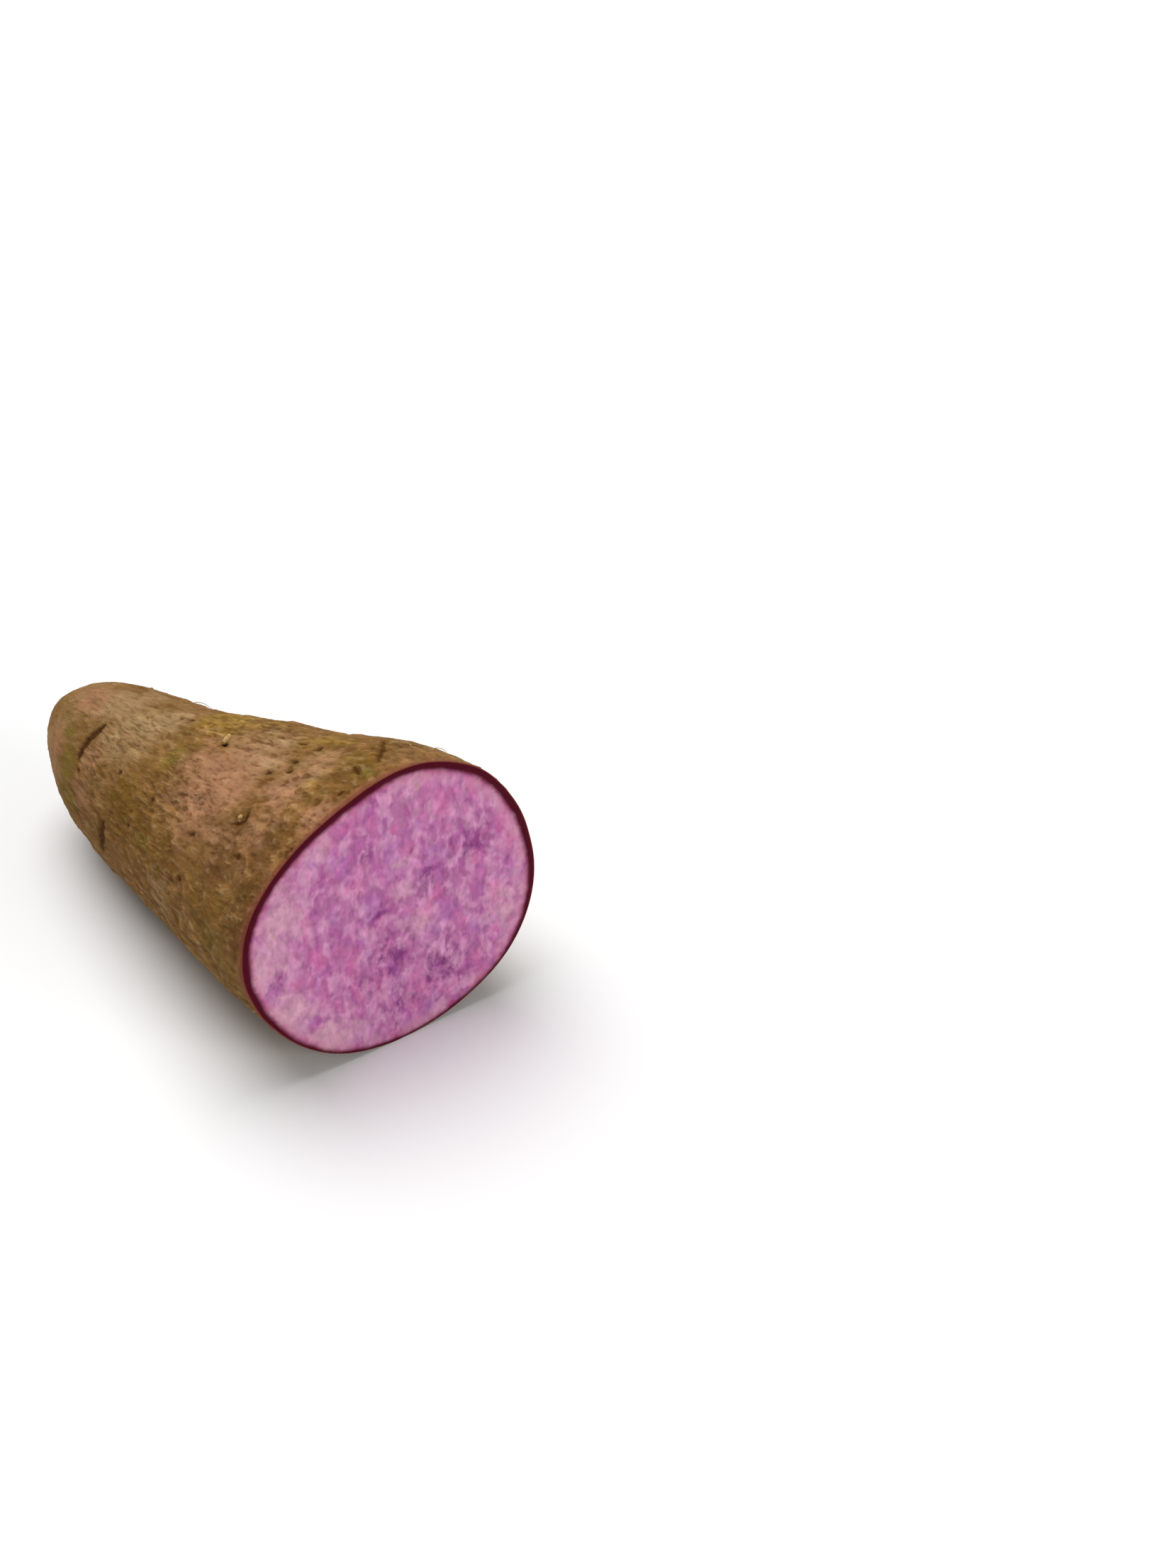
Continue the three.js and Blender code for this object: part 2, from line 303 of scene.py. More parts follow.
around = [np.roll(reach, shift, axis=1) for shift in (-2, -1, 1, 2)]
neighbours = np.median(around, axis=0)
stray = np.abs(reach - neighbours) > STRAY
reach[stray] = neighbours[stray]
print("rays evened out:", int(stray.sum()), "of", reach.size)

for vertex in yam.data.vertices:
    from_pole = math.acos(max(-1.0, min(1.0, -vertex.co.z)))
    ring = round(from_pole / (math.pi / 2) * RINGS)
    segment = round(math.atan2(vertex.co.y, vertex.co.x) / (2 * math.pi) * SEGMENTS) % SEGMENTS
    if ring == 0:
        middle, _ = ring_ray(ring_along(1), 0)
        vertex.co = shell_hit(middle, Vector((-1, 0, 0)))
        continue
    middle, out = ring_ray(ring_along(ring), segment_angles[segment])
    vertex.co = middle + out * reach[ring, segment]
yam.data.update()
rim_gaps = [abs(beyond_cut(v.co)) for v in yam.data.vertices if beyond_cut(v.co) > -RIM_SLACK]
print("rim stands off the cut plane by at most, mm:", round(max(rim_gaps) / MM, 3))

# %% [markdown]
# ## The cut face
#
# The open end is closed by one many-sided face. It is inset three times, close to the rim, so that
# the mesh is fine where the bark, the maroon layer and the flesh meet and the edge stays crisp.
# The rest is filled as a grid of even quads, not as a fan of slivers.

# %% Inset the cut face and fill it
RIM_INSETS = (0.35 * MM, 1.0 * MM, 1.2 * MM)

make_active(yam)
for face in yam.data.polygons:
    face.select = len(face.vertices) > 4
for vertex in yam.data.vertices:
    vertex.select = False
bpy.ops.object.mode_set(mode="EDIT")
bpy.ops.mesh.select_mode(type="FACE")
for thickness in RIM_INSETS:
    bpy.ops.mesh.inset(thickness=thickness, use_even_offset=True)
bpy.ops.mesh.delete(type="ONLY_FACE")
bpy.ops.mesh.select_mode(type="EDGE")
bpy.ops.mesh.select_all(action="DESELECT")
bpy.ops.mesh.select_non_manifold()
bpy.ops.mesh.fill_grid(span=SEGMENTS // 4)
bpy.ops.mesh.select_all(action="SELECT")
bpy.ops.mesh.normals_make_consistent(inside=False)
bpy.ops.object.mode_set(mode="OBJECT")
print("cage:", len(yam.data.polygons), "faces")

# %% Subdivide the cage
FINE_LEVELS = 3


def finish_with(piece, kind, **settings):
    """Adds a modifier to a piece and applies it."""
    make_active(piece)
    modifier = piece.modifiers.new(kind.lower(), kind)
    for name, value in settings.items():
        setattr(modifier, name, value)
    bpy.ops.object.modifier_apply(modifier=modifier.name)


finish_with(yam, "SUBSURF", levels=FINE_LEVELS, render_levels=FINE_LEVELS)
bpy.ops.object.shade_smooth()
print("fine mesh:", len(yam.data.vertices), "points")

# %% [markdown]
# ## Bark and flesh as regions
#
# The fine mesh has to know which of its points are bark and which lie on the cut face, and how far
# a point of the cut face is from the bark. Both are kept as attributes on the points, in
# millimetres, because the materials can read them and they stay with the mesh when it is exported.

# %% Measure how far each point is behind the cut
FACE_SLACK = 0.04 * MM
RELIEF_START = 0.15  # mm behind the cut, where the bark's relief begins
RELIEF_FADE = 1.2  # mm over which it comes to full height

points = np.array([v.co for v in yam.data.vertices])
normals = np.array([v.normal for v in yam.data.vertices])
cut_axis = np.array(cut_normal)
behind_cut = -(points - np.array(cut_centre)) @ cut_axis
on_face = behind_cut < FACE_SLACK
bark_share = np.clip((behind_cut / MM - RELIEF_START) / RELIEF_FADE, 0, 1)


def save_attribute(piece, name, values):
    """Keeps a number for each point of a piece."""
    attribute = piece.data.attributes.new(name, "FLOAT", "POINT")
    attribute.data.foreach_set("value", np.ascontiguousarray(values, dtype=np.float32))


save_attribute(yam, "behind_cut", behind_cut / MM)
print("points on the cut face:", int(on_face.sum()), "of", len(points))

# %% Measure the depth under the bark
# The cut face has axes of its own: level, and up the face. The rim's distance from the middle is
# taken, for each direction, from the points that lie furthest out.
RIM_STEPS = 180
face_level = np.array(Vector((0, 0, 1)).cross(cut_normal).normalized())
face_up = np.cross(cut_axis, face_level)
from_centre = points - np.array(cut_centre)
face_right = from_centre @ face_level
face_high = from_centre @ face_up
face_turn = np.arctan2(face_high, face_right)
face_reach = np.hypot(face_right, face_high)
step_index = ((face_turn + math.pi) / (2 * math.pi) * RIM_STEPS).astype(int) % RIM_STEPS
rim_reach = np.zeros(RIM_STEPS)
np.maximum.at(rim_reach, step_index[on_face], face_reach[on_face])
step_turns = -math.pi + (np.arange(RIM_STEPS) + 0.5) * 2 * math.pi / RIM_STEPS
rim_here = np.interp(face_turn, step_turns, rim_reach, period=2 * math.pi)
under_bark = np.where(on_face, np.maximum(rim_here - face_reach, 0), 0) / MM
save_attribute(yam, "under_bark", under_bark)
print("rim reach, mm:", (rim_reach.min() / MM).round(1), "to", (rim_reach.max() / MM).round(1))

# %% [markdown]
# ## Marks in the bark
#
# A dug tuber is pitted where feeding roots broke off and gashed where a spade or a stone caught it.
# Marks are placed by a distance from the tip and an angle round the tuber, as on the solid. Those
# on the far side are drawn with the same seeded generator as the solid's, so they fall together.
# The distance from the nearest mark is kept for the colour, because a distance is still smooth
# between two points of the mesh, where a dark spot painted on the points would look stepped.

# %% Find places on the bark
def mark_place(along, angle):
    """The fine mesh's point nearest to a place, and its way out of the bark."""
    y, z, half_width, half_height = girth(along * MM)
    turn = math.radians(angle)
    share = min(along * MM / TIP_LENGTH, 1)
    roundness = math.sqrt(1 - (1 - share) ** 2)
    target_y = y + half_width * roundness * math.cos(turn)
    target_z = z + half_height * roundness * math.sin(turn)
    target = np.array((tip_x + along * MM, target_y, target_z))
    nearest = int(np.argmin(((points - target) ** 2).sum(1)))
    return points[nearest], normals[nearest]


def mark_axes(outward):
    """The two ways along the bark at a place: lengthwise and across."""
    lengthwise = np.array((1.0, 0, 0)) - outward[0] * outward
    lengthwise /= np.linalg.norm(lengthwise)
    return lengthwise, np.cross(outward, lengthwise)


print("the ridge 60 mm from the tip is at, mm:", (mark_place(60, 90)[0] / MM).round(1))

# %% Measure how far every point is from a mark
FAR_AWAY = 3.0  # the greatest distance that is kept, in shares of a mark's half width
PIT_REACH = 4 * MM  # keeps a pit from reaching through the tuber
GASH_ENDS = 0.06  # keeps a gash's ends from narrowing to nothing at all


def pit_distance(along, angle, length, width):
    """Distance from the middle of a pit, where 1 is the pit's edge."""
    centre, outward = mark_place(along, angle)
    lengthwise, across = mark_axes(outward)
    offset = points - centre
    long_share = offset @ lengthwise / (length / 2 * MM)
    wide_share = offset @ across / (width / 2 * MM)
    deep_share = offset @ outward / PIT_REACH
    return np.sqrt(long_share**2 + wide_share**2 + deep_share**2)


def gash_distance(path, width):
    """Distance from a path of places, where 1 is the gash's edge. A gash narrows to its ends."""
    places = [mark_place(*place)[0] for place in path]
    lengths = [np.linalg.norm(b - a) for a, b in zip(places, places[1:])]
    nearest = np.full(len(points), FAR_AWAY)
    travelled = 0.0
    for start, end, length in zip(places, places[1:], lengths):
        run = (end - start) / length
        along_run = np.clip((points - start) @ run, 0, length)
        away = np.linalg.norm(points - start - along_run[:, None] * run, axis=1)
        share = (travelled + along_run) / sum(lengths)
        narrowing = np.sqrt(np.clip(1 - (2 * share - 1) ** 2, GASH_ENDS, 1))
        nearest = np.minimum(nearest, away / (width / 2 * MM * narrowing))
        travelled += length
    return nearest


print("points inside a pit 2 mm wide:", int((pit_distance(60, 90, 2, 2) < 1).sum()))

# %% List the marks that stand out
# Width and depth in mm, and the path's places, each a distance from the tip and an angle.
GASHES = [
    (2.4, 0.6, [(28.8, 114), (28, 121), (26.7, 128.5), (26.2, 136), (26.2, 145)]),
    (3.6, 0.6, [(42.6, 165), (41.7, 176.5), (41, 188)]),
    (1.4, 0.5, [(102.3, 62), (107.9, 73.5), (110.9, 78.5), (113.9, 83)]),
    (1.4, 0.35, [(108.3, 87.5), (112, 89.2)]),
    (1.1, 0.35, [(112.2, 101.5), (112.8, 98.5)]),
    (2.0, 0.45, [(111.9, 124.5), (111.5, 129)]),
    # This gash curls under the lower root stub: a real groove, whose dark stain under the stub is
    # painted shadow of the stub.
    (1.3, 0.45, [(89, 125), (91, 124.8), (91.8, 122.8), (91.7, 120.3), (91, 117.3)]),
    (1.9, 0.5, [(70, 332), (71.5, 346), (70.4, 358)]),
]

# Distance from the tip, angle, length, width and depth.
PITS = [
    (59.8, 135, 1.7, 1.4, 0.5),
    (78.8, 137.5, 2.9, 1.3, 0.5),
    (80.1, 157.5, 2.5, 1.4, 0.5),
    (54.1, 154.5, 1.4, 1.2, 0.4),
    (43.7, 132.5, 1.6, 1.3, 0.4),
    (50.4, 83.5, 2.0, 1.3, 0.45),
    (47.1, 84.5, 1.5, 1.1, 0.4),
    (86.8, 100.5, 1.7, 1.6, 0.4),
    (92, 96.5, 2.1, 1.7, 0.5),
    (90.8, 91, 2.1, 1.6, 0.5),
    (97.5, 136, 3.0, 1.5, 0.45),
    (86.3, 79.5, 3.2, 1.7, 0.45),
    (92.1, 81, 2.0, 2.3, 0.45),
    # This pit lies under the upper root stub, and its dark stain is painted shadow of the stub.
    (67.6, 94, 2.4, 1.6, 0.5),
    (27.3, 149, 1.4, 1.2, 0.4),
]
print("placed by hand:", len(GASHES), "gashes and", len(PITS), "pits")

# %% Draw the far side's pits
MARK_SEED = 41
DRAW_STEP, DRAW_SHIFT, DRAW_RANGE = 1664525, 1013904223, 2**32
FAR_PITS = 24
PIT_STRETCH = (14, 108)  # mm from the tip
PIT_ANGLES = (205, 395)
PIT_LENGTHS = (1.7, 3)
PIT_WIDTHS = (1.4, 1.9)
PIT_DEPTHS = (0.6, 1)


def seeded_draw(seed):
    """A generator that gives the same numbers in every run."""
    state = [seed]

    def draw(low, high):
        state[0] = (state[0] * DRAW_STEP + DRAW_SHIFT) % DRAW_RANGE
        return low + (high - low) * state[0] / DRAW_RANGE

    return draw


def draw_along(draw, index, count, stretch):
    """Distance from the tip of one mark of a count, each drawn inside its own part of a stretch."""
    start, end = stretch
    return start + (end - start) * (index + draw(0.1, 0.9)) / count


mark_draw = seeded_draw(MARK_SEED)
far_pits = []
for index in range(FAR_PITS):
    along = draw_along(mark_draw, index, FAR_PITS, PIT_STRETCH)
    angle = mark_draw(*PIT_ANGLES)
    size = [mark_draw(*limits) for limits in (PIT_LENGTHS, PIT_WIDTHS, PIT_DEPTHS)]
    far_pits.append((along, angle, *size))
print("drawn:", len(far_pits), "pits, the first at", [round(v, 1) for v in far_pits[0]])

# %% Press the marks in
OCTAVES = 2
OCTAVE_FALL = 1.0  # how much weaker each octave of a noise is than the one before
OCTAVE_STEP = 2.0  # how much finer it is
RAGGED = 0.45  # how far a mark's edge strays, in shares of its half width
RAGGED_SIZE = (1.5, 1.5, 1.5)
LIP_HEIGHT = 0.2  # in shares of the mark's depth
LIP_PLACE = 1.3  # in shares of its half width
LIP_WIDTH = 0.35


def sample_noise(place, size, shift):
    """Noise at points. Its size is given in mm along X, Y and Z, and each shift is another noise."""
    scaled = place / (np.array(size) * MM) + shift
    return np.array([noise.fractal(p, OCTAVE_FALL, OCTAVE_STEP, OCTAVES) for p in scaled])


relief = np.zeros(len(points))  # how far each point moves out along its normal
mark = np.full(len(points), FAR_AWAY)  # distance from the nearest mark
ragged = 1 + RAGGED * sample_noise(points, RAGGED_SIZE, shift=61.3)
marks = [(gash_distance(path, width), depth) for width, depth, path in GASHES]
marks += [(pit_distance(*outline), depth) for *outline, depth in PITS + far_pits]
for away, depth in marks:
    away = away * ragged
    relief -= depth * MM * np.clip(1 - away**2, 0, 1)
    relief += LIP_HEIGHT * depth * MM * np.exp(-(((away - LIP_PLACE) / LIP_WIDTH) ** 2))
    mark = np.minimum(mark, away)
save_attribute(yam, "mark", mark)
print("marks pressed in:", len(marks), "- the deepest, mm:", round(-relief.min() / MM, 2))

# %% [markdown]
# ## The bark's grain
#
# Yam bark dries into shallow folds, two or three millimetres apart, with sharp creases between
# them. They run lengthwise and close up toward the tip, as the body does. So the noise that draws
# them is not asked at a point's own place but at its place on the tuber unrolled to one even
# girth, and it is stretched lengthwise there. That place is kept as an attribute, because the
# material draws its finer wrinkles the same way. A second noise bends the place that is asked for,
# so the lines wander. The blunt tip is smoother than the flanks.

# %% Unroll the bark
EVEN_GIRTH = 33 * MM  # half width of the unrolled tuber

from_tip = points[:, 0] - tip_x
middle_y, middle_z, half_width, half_height = girth(from_tip)
unrolled_y = (points[:, 1] - middle_y) / half_width * EVEN_GIRTH
unrolled_z = (points[:, 2] - middle_z) / half_height * EVEN_GIRTH
unrolled = np.stack([from_tip, unrolled_y, unrolled_z], axis=1)
unrolled_attribute = yam.data.attributes.new("unrolled", "FLOAT_VECTOR", "POINT")
unrolled_attribute.data.foreach_set("vector", (unrolled / MM).astype(np.float32).ravel())
print("half height before and after, mm:", (np.ptp(points[:, 2]) / 2 / MM).round(1),
      (np.ptp(unrolled_z) / 2 / MM).round(1))

# %% Fold the bark
WANDER = 1.2 * MM
WANDER_SIZE = (9, 5, 5)
WANDER_SHIFTS = (3.7, 17.3, 29.9)  # a noise of its own along each axis
FOLD_RISE = 0.2  # mm, the usual height of a fold
LUMP_HEIGHT = 0.12  # mm
LUMP_SIZE = (9, 6, 6)
STRENGTH_SIZE = (16, 12, 12)
STRENGTH_MIDDLE, STRENGTH_SWING = 0.88, 0.5
STRENGTH_LIMITS = (0.5, 1.1)
SMOOTH_TIP = 44 * MM  # the folds come to full height over this length
TIP_STRENGTH = 0.15
LEAST_TIP_STRENGTH = 0.3

wander = [sample_noise(unrolled, WANDER_SIZE, shift) for shift in WANDER_SHIFTS]
folded = unrolled + np.stack(wander, axis=1) * WANDER


def fold(size, shift, height, crease_depth, crease_width):
    """Folds in mm, with a sharp crease wherever their noise passes zero."""
    waves = sample_noise(folded, size, shift)
    return height * waves - crease_depth * np.exp(-((waves / crease_width) ** 2))


grain = fold((6.4, 2.4, 2.4), shift=11.3, height=0.35, crease_depth=0.13, crease_width=0.10)
grain += fold((4.2, 1.5, 1.5), shift=5.1, height=0.2, crease_depth=0.08, crease_width=0.14)
lumps = LUMP_HEIGHT * sample_noise(points, LUMP_SIZE, shift=23.9)
wrinkled = STRENGTH_MIDDLE + STRENGTH_SWING * sample_noise(points, STRENGTH_SIZE, shift=31.7)
wrinkled = np.clip(wrinkled, *STRENGTH_LIMITS)
tip_strength = TIP_STRENGTH + (1 - TIP_STRENGTH) * from_tip / SMOOTH_TIP
wrinkled *= np.clip(tip_strength, LEAST_TIP_STRENGTH, 1)
relief += (grain * wrinkled + lumps) * MM
save_attribute(yam, "rise", grain * wrinkled / FOLD_RISE)
save_attribute(yam, "wrinkled", wrinkled)
print("grain relief, mm:", round(float(grain.min()), 2), "to", round(float(grain.max()), 2))

# %% Wave the cut face
# The knife's waves are the solid's own, in radians per mm level and up the face. The flesh has a
# low grain, and the cut cork swells a little.
CUT_WAVE = 0.3  # mm, how far a knife cut through firm flesh strays from flat
BROAD_TURNS, BROAD_START = (0.07, 0.055), (0.8, -0.4)
NARROW_TURNS, NARROW_SHARE = (0.16, 0.11), 0.35
FLESH_GRAIN = 0.05  # mm
FLESH_GRAIN_SIZE = (1.6, 1.6, 1.6)
GRAIN_START = 1  # mm under the bark
GRAIN_FADE = 2  # mm over which it comes to full height
CORK_SWELL = 0.06  # mm
SWELL_PLACE = 0.9  # mm under the bark
SWELL_WIDTH = 0.6

right_mm = face_right / MM
high_mm = face_high / MM
broad_wave = np.sin(BROAD_TURNS[0] * right_mm + BROAD_START[0])
broad_wave *= np.cos(BROAD_TURNS[1] * high_mm + BROAD_START[1])
narrow_wave = NARROW_SHARE * np.sin(NARROW_TURNS[0] * right_mm + NARROW_TURNS[1] * high_mm)
knife = CUT_WAVE * (broad_wave + narrow_wave) - CUT_WAVE
flesh_grain = FLESH_GRAIN * sample_noise(points, FLESH_GRAIN_SIZE, shift=47.0)
flesh_grain *= np.clip((under_bark - GRAIN_START) / GRAIN_FADE, 0, 1)
swell = CORK_SWELL * np.exp(-(((under_bark - SWELL_PLACE) / SWELL_WIDTH) ** 2))
face_relief = (flesh_grain + swell) * MM
print("knife waves, mm:", round(float(knife.min()), 2), "to", round(float(knife.max()), 2))

# %% Move the points
WAVE_REACH = 3 * MM  # how far behind the cut the bark follows the knife's waves

follows_cut = np.clip(1 - behind_cut / WAVE_REACH, 0, 1)
moved = points + normals * (relief * bark_share)[:, None]
moved = moved + cut_axis * (face_relief * on_face)[:, None]
moved = moved + cut_axis * (knife * MM * follows_cut)[:, None]
low, high = np.array(solid_low), np.array(solid_high)
moved = np.clip(moved, low, high)
yam.data.vertices.foreach_set("co", moved.ravel())
yam.data.update()
print("furthest move, mm:", round(float(np.linalg.norm(moved - points, axis=1).max()) / MM, 2))

# %% [markdown]
# ## Broad colour
#
# The bark isn't one brown. It is mauve-pink where the cork is thin, olive where it stayed damp,
# umber in darker spots, ochre on the ridge, green in spots and greyish at the tip. Each
# patch is a soft spot round a place on the bark. The flesh has its deeper purple and its starchy
# zones in the same way. The materials break a spot's edge up with noise, so none shows as a disc.

# %% List the bark's patches
# Distance from the tip, angle, radius in mm and strength.
PATCHES = {
    "pink": [
        (76, 112, 17, 1.0),
        (84, 113, 6, 1.0),
        (96, 121, 12, 0.55),
        (95, 101, 10, 0.9),
        (113, 112, 8, 0.7),
        (12, 190, 9, 0.7),
        (19, 101, 7, 0.9),
        (13, 147, 5, 0.8),
        (30, 129, 6, 0.8),
        (30, 165, 6, 0.7),
        (84, 20, 18, 0.8),
        (48, 330, 14, 0.8),
        (100, 300, 14, 0.6),
    ],
    "olive": [
        (50, 144, 13, 0.9),
        (66, 158, 13, 0.6),
        (92, 165, 15, 0.6),
        (104, 190, 14, 0.9),
        (18, 150, 8, 0.5),
        (108, 84, 6, 0.9),
        (30, 20, 14, 0.7),
        (66, 300, 16, 0.8),
        (104, 0, 10, 0.6),
        (80, 250, 14, 0.6),
    ],
    "umber": [
        (92, 138, 9, 0.9),
        (80, 135, 6, 0.8),
        (82, 129, 5, 0.6),
        (104, 130, 7, 0.8),
        (107, 147, 8, 0.8),
        (110, 161, 8, 0.9),
        (112, 175, 8, 0.7),
        (54, 350, 8, 0.7),
    ],
    "ochre": [
        (60, 76, 12, 0.9),
        (90, 70, 12, 0.6),
        (97, 97, 9, 0.8),
        (34, 80, 10, 0.25),
        (88, 200, 10, 0.6),
        (70, 0, 12, 0.5),
    ],
    "green": [
        (112.6, 88.2, 3.2, 1.0),
        (104, 84, 4, 0.6),
        (15, 117, 4, 0.8),
        (19, 131, 3.5, 0.7),
        (22, 156, 5, 1.0),
        (26, 174, 5, 0.9),
        (6, 172, 6, 0.7),
        (18, 186, 7, 0.7),
        (57, 110, 5, 0.8),
        (63, 151, 7, 0.5),
        (96, 176, 8, 0.6),
        (24, 320, 9, 0.6),
        (92, 350, 10, 0.6),
    ],
    "grey": [
        (16, 104, 13, 0.7),
        (10, 165, 7, 0.8),
        (15, 166, 5, 0.9),
        (37, 106, 14, 0.95),
        (30, 91, 10, 1.1),
        (45, 89, 8, 0.95),
        (78, 90, 9, 1.0),
        (84, 97, 7, 0.8),
        (98, 92, 8, 0.7),
        (72, 176, 7, 0.7),
        (110, 50, 8, 0.5),
        (20, 300, 12, 0.6),
    ],
}
print("spots on the bark:", {name: len(spots) for name, spots in PATCHES.items()})

# %% List the flesh's patches
# Level and up the face from its middle and radius, in mm, and strength.
FACE_PATCHES = {
    "purple": [
        (-1, -12, 7, 1.0),
        (-8, -17, 4, 0.7),
        (0, -27, 6, 0.7),
        (11, -21, 8, 0.9),
        (11, 6, 6, 0.8),
        (21, 10, 7, 0.8),
        (-4, 18, 6, 0.6),
        (1, 9.5, 2, 0.9),
        (-19.5, 9, 1.6, 0.9),
        (-4, 1, 3, 0.8),
    ],
    "starch": [
        (3, 5, 3, 0.9),
        (6.5, -6, 4, 0.9),
        (3, 13, 3, 0.7),
        (-27, 11, 7, 1.0),
        (-33, 0, 7, 0.9),
        (-29, -17, 8, 1.0),
        (-18, -28, 7, 0.9),
        (-15.5, 24.5, 4, 0.9),
        (8, 31, 6, 0.5),
        (29, -12, 7, 0.7),
    ],
}
print("spots on the flesh:", {name: len(spots) for name, spots in FACE_PATCHES.items()})

# %% Save the patches on the points
def bark_distance(along, angle, radius):
    """Distance from a place on the bark, in shares of a spot's radius."""
    centre, _ = mark_place(along, angle)
    return np.linalg.norm(points - centre, axis=1) / (radius * MM)


def face_distance(level_place, up_place, radius):
    """Distance from a place on the cut face, in shares of a spot's radius."""
    return np.hypot(right_mm - level_place, high_mm - up_place) / radius


def save_patches(patches, distance):
    """Saves each patch's strength: full in the middle of its spots and fading round them."""
    for name, spots in patches.items():
        strength = np.zeros(len(points))
        for *spot, amount in spots:
            strength = np.maximum(strength, amount * np.exp(-(distance(*spot) ** 2)))
        save_attribute(yam, name, strength)


save_patches(PATCHES, bark_distance)
save_patches(FACE_PATCHES, face_distance)
print("attributes on the yam:", len(yam.data.attributes))

# %% [markdown]
# ## Helpers for materials
#
# Materials are node trees, so a few short helpers keep them readable. Each adds a node with its
# settings and inputs and gives back the socket that the next one needs. Every pattern reads Object
# coordinates turned into millimetres, or the unrolled bark's, so sizes in the materials are real
# sizes. Bark, flesh and roots share effects, and each of those is a node group: mottle is a noise
# spread between two limits, swelling is a noise about zero, for small relief, and bend pushes a
# pattern's places about so that it wanders.

# %% Add nodes in one line
FACTOR, FIRST, SECOND, MIXED = 0, 6, 7, 2  # sockets of a Mix node that mixes colours


def add_node(tree, kind, inputs=(), **settings):
    """A new node. Its inputs go by name or number and are values or other nodes' sockets."""
    made = tree.nodes.new(kind)
    for name, value in settings.items():
        setattr(made, name, value)
    for socket, value in dict(inputs).items():
        if isinstance(value, bpy.types.NodeSocket):
            tree.links.new(value, made.inputs[socket])
        else:
            made.inputs[socket].default_value = value
    return made


def paint(red, green, blue):
    """A colour as painters read it, 0 to 255, turned into the linear light that shaders use."""
    shares = [c / 255 for c in (red, green, blue)]
    linear = [s / 12.92 if s < 0.04045 else ((s + 0.055) / 1.055) ** 2.4 for s in shares]
    return (*linear, 1)


def mix(tree, share, first, second, blend="MIX"):
    """The first colour where share is 0 and the second where it is 1."""
    inputs = {FACTOR: share, FIRST: first, SECOND: second}
    return add_node(tree, "ShaderNodeMix", inputs, data_type="RGBA", blend_type=blend).outputs[MIXED]


def maths(tree, operation, first, second):
    return add_node(tree, "ShaderNodeMath", {0: first, 1: second}, operation=operation).outputs[0]


def weighted(tree, value, weight):
    return maths(tree, "MULTIPLY", value, weight)


def total(tree, *values):
    """The sum of several values."""
    whole = values[0]
    for value in values[1:]:
        whole = maths(tree, "ADD", whole, value)
    return whole


def ramp(tree, value, low, high):
    """0 below low, 1 above high, smooth between. With low above high it runs the other way."""
    inputs = {"Value": value, "From Min": low, "From Max": high}
    return add_node(tree, "ShaderNodeMapRange", inputs, interpolation_type="SMOOTHSTEP").outputs[0]


print("a warm brown in linear light:", [round(c, 3) for c in paint(142, 104, 58)])

# %% Find a pattern's place
def attribute(tree, name):
    return add_node(tree, "ShaderNodeAttribute", attribute_name=name).outputs["Fac"]


def millimetres(tree, stretch=(1, 1, 1)):
    """Object coordinates in mm, divided by a stretch along each axis."""
    place = add_node(tree, "ShaderNodeTexCoord").outputs["Object"]
    scale = [1 / MM / s for s in stretch]
    return add_node(tree, "ShaderNodeMapping", {"Vector": place, "Scale": scale}).outputs[0]


def unrolled_place(tree, stretch):
    """Place on the unrolled bark in mm, divided by a stretch along each axis."""
    place = add_node(tree, "ShaderNodeAttribute", attribute_name="unrolled").outputs["Vector"]
    scale = [1 / s for s in stretch]
    return add_node(tree, "ShaderNodeMapping", {"Vector": place, "Scale": scale}).outputs[0]


def above_floor(tree):
    """Height above the floor in mm."""
    return add_node(tree, "ShaderNodeSeparateXYZ", {"Vector": millimetres(tree)}).outputs["Z"]


print("patterns are placed in mm, so their scale is", 1 / MM)

# %% Build the shared effects
def new_group(name, output, kind, **inputs):
    """An empty node group with named sockets, and what its inputs give inside it."""
    tree = bpy.data.node_groups.new(name, "ShaderNodeTree")
    for socket, socket_kind in inputs.items():
        socket_type = "NodeSocket" + socket_kind
        tree.interface.new_socket(name=socket, in_out="INPUT", socket_type=socket_type)
    tree.interface.new_socket(name=output, in_out="OUTPUT", socket_type="NodeSocket" + kind)
    return tree, add_node(tree, "NodeGroupInput").outputs


def noise_in(tree, given, roughness, output):
    """A noise as wide as the Size that a group is given."""
    scale = maths(tree, "DIVIDE", 1.0, given["Size"])
    inputs = {"Vector": given["Vector"], "Scale": scale, "Detail": given["Detail"]}
    inputs["Roughness"] = roughness
    return add_node(tree, "ShaderNodeTexNoise", inputs).outputs[output]


def make_mottle_group():
    sizes = dict(Size="Float", Detail="Float", Low="Float", High="Float")
    tree, given = new_group("mottle", "Share", "Float", Vector="Vector", **sizes)
    share = ramp(tree, noise_in(tree, given, 0.6, "Fac"), given["Low"], given["High"])
    add_node(tree, "NodeGroupOutput", {"Share": share})
    return tree


def make_swelling_group():
    sizes = dict(Size="Float", Detail="Float")
    tree, given = new_group("swelling", "Height", "Float", Vector="Vector", **sizes)
    height = maths(tree, "SUBTRACT", noise_in(tree, given, 0.55, "Fac"), 0.5)
    add_node(tree, "NodeGroupOutput", {"Height": height})
    return tree


def make_bend_group():
    sizes = dict(Size="Float", Detail="Float", Amount="Float")
    tree, given = new_group("bend", "Place", "Vector", Vector="Vector", **sizes)

    def vectors(operation, inputs):
        return add_node(tree, "ShaderNodeVectorMath", inputs, operation=operation).outputs[0]

    push = vectors("SUBTRACT", {0: noise_in(tree, given, 0.5, "Color"), 1: (0.5, 0.5, 0.5)})
    push = vectors("SCALE", {0: push, "Scale": given["Amount"]})
    place = vectors("ADD", {0: given["Vector"], 1: push})
    add_node(tree, "NodeGroupOutput", {"Place": place})
    return tree


mottle_group = make_mottle_group()
swelling_group = make_swelling_group()
bend_group = make_bend_group()
print("shared effects:", [group.name for group in bpy.data.node_groups])

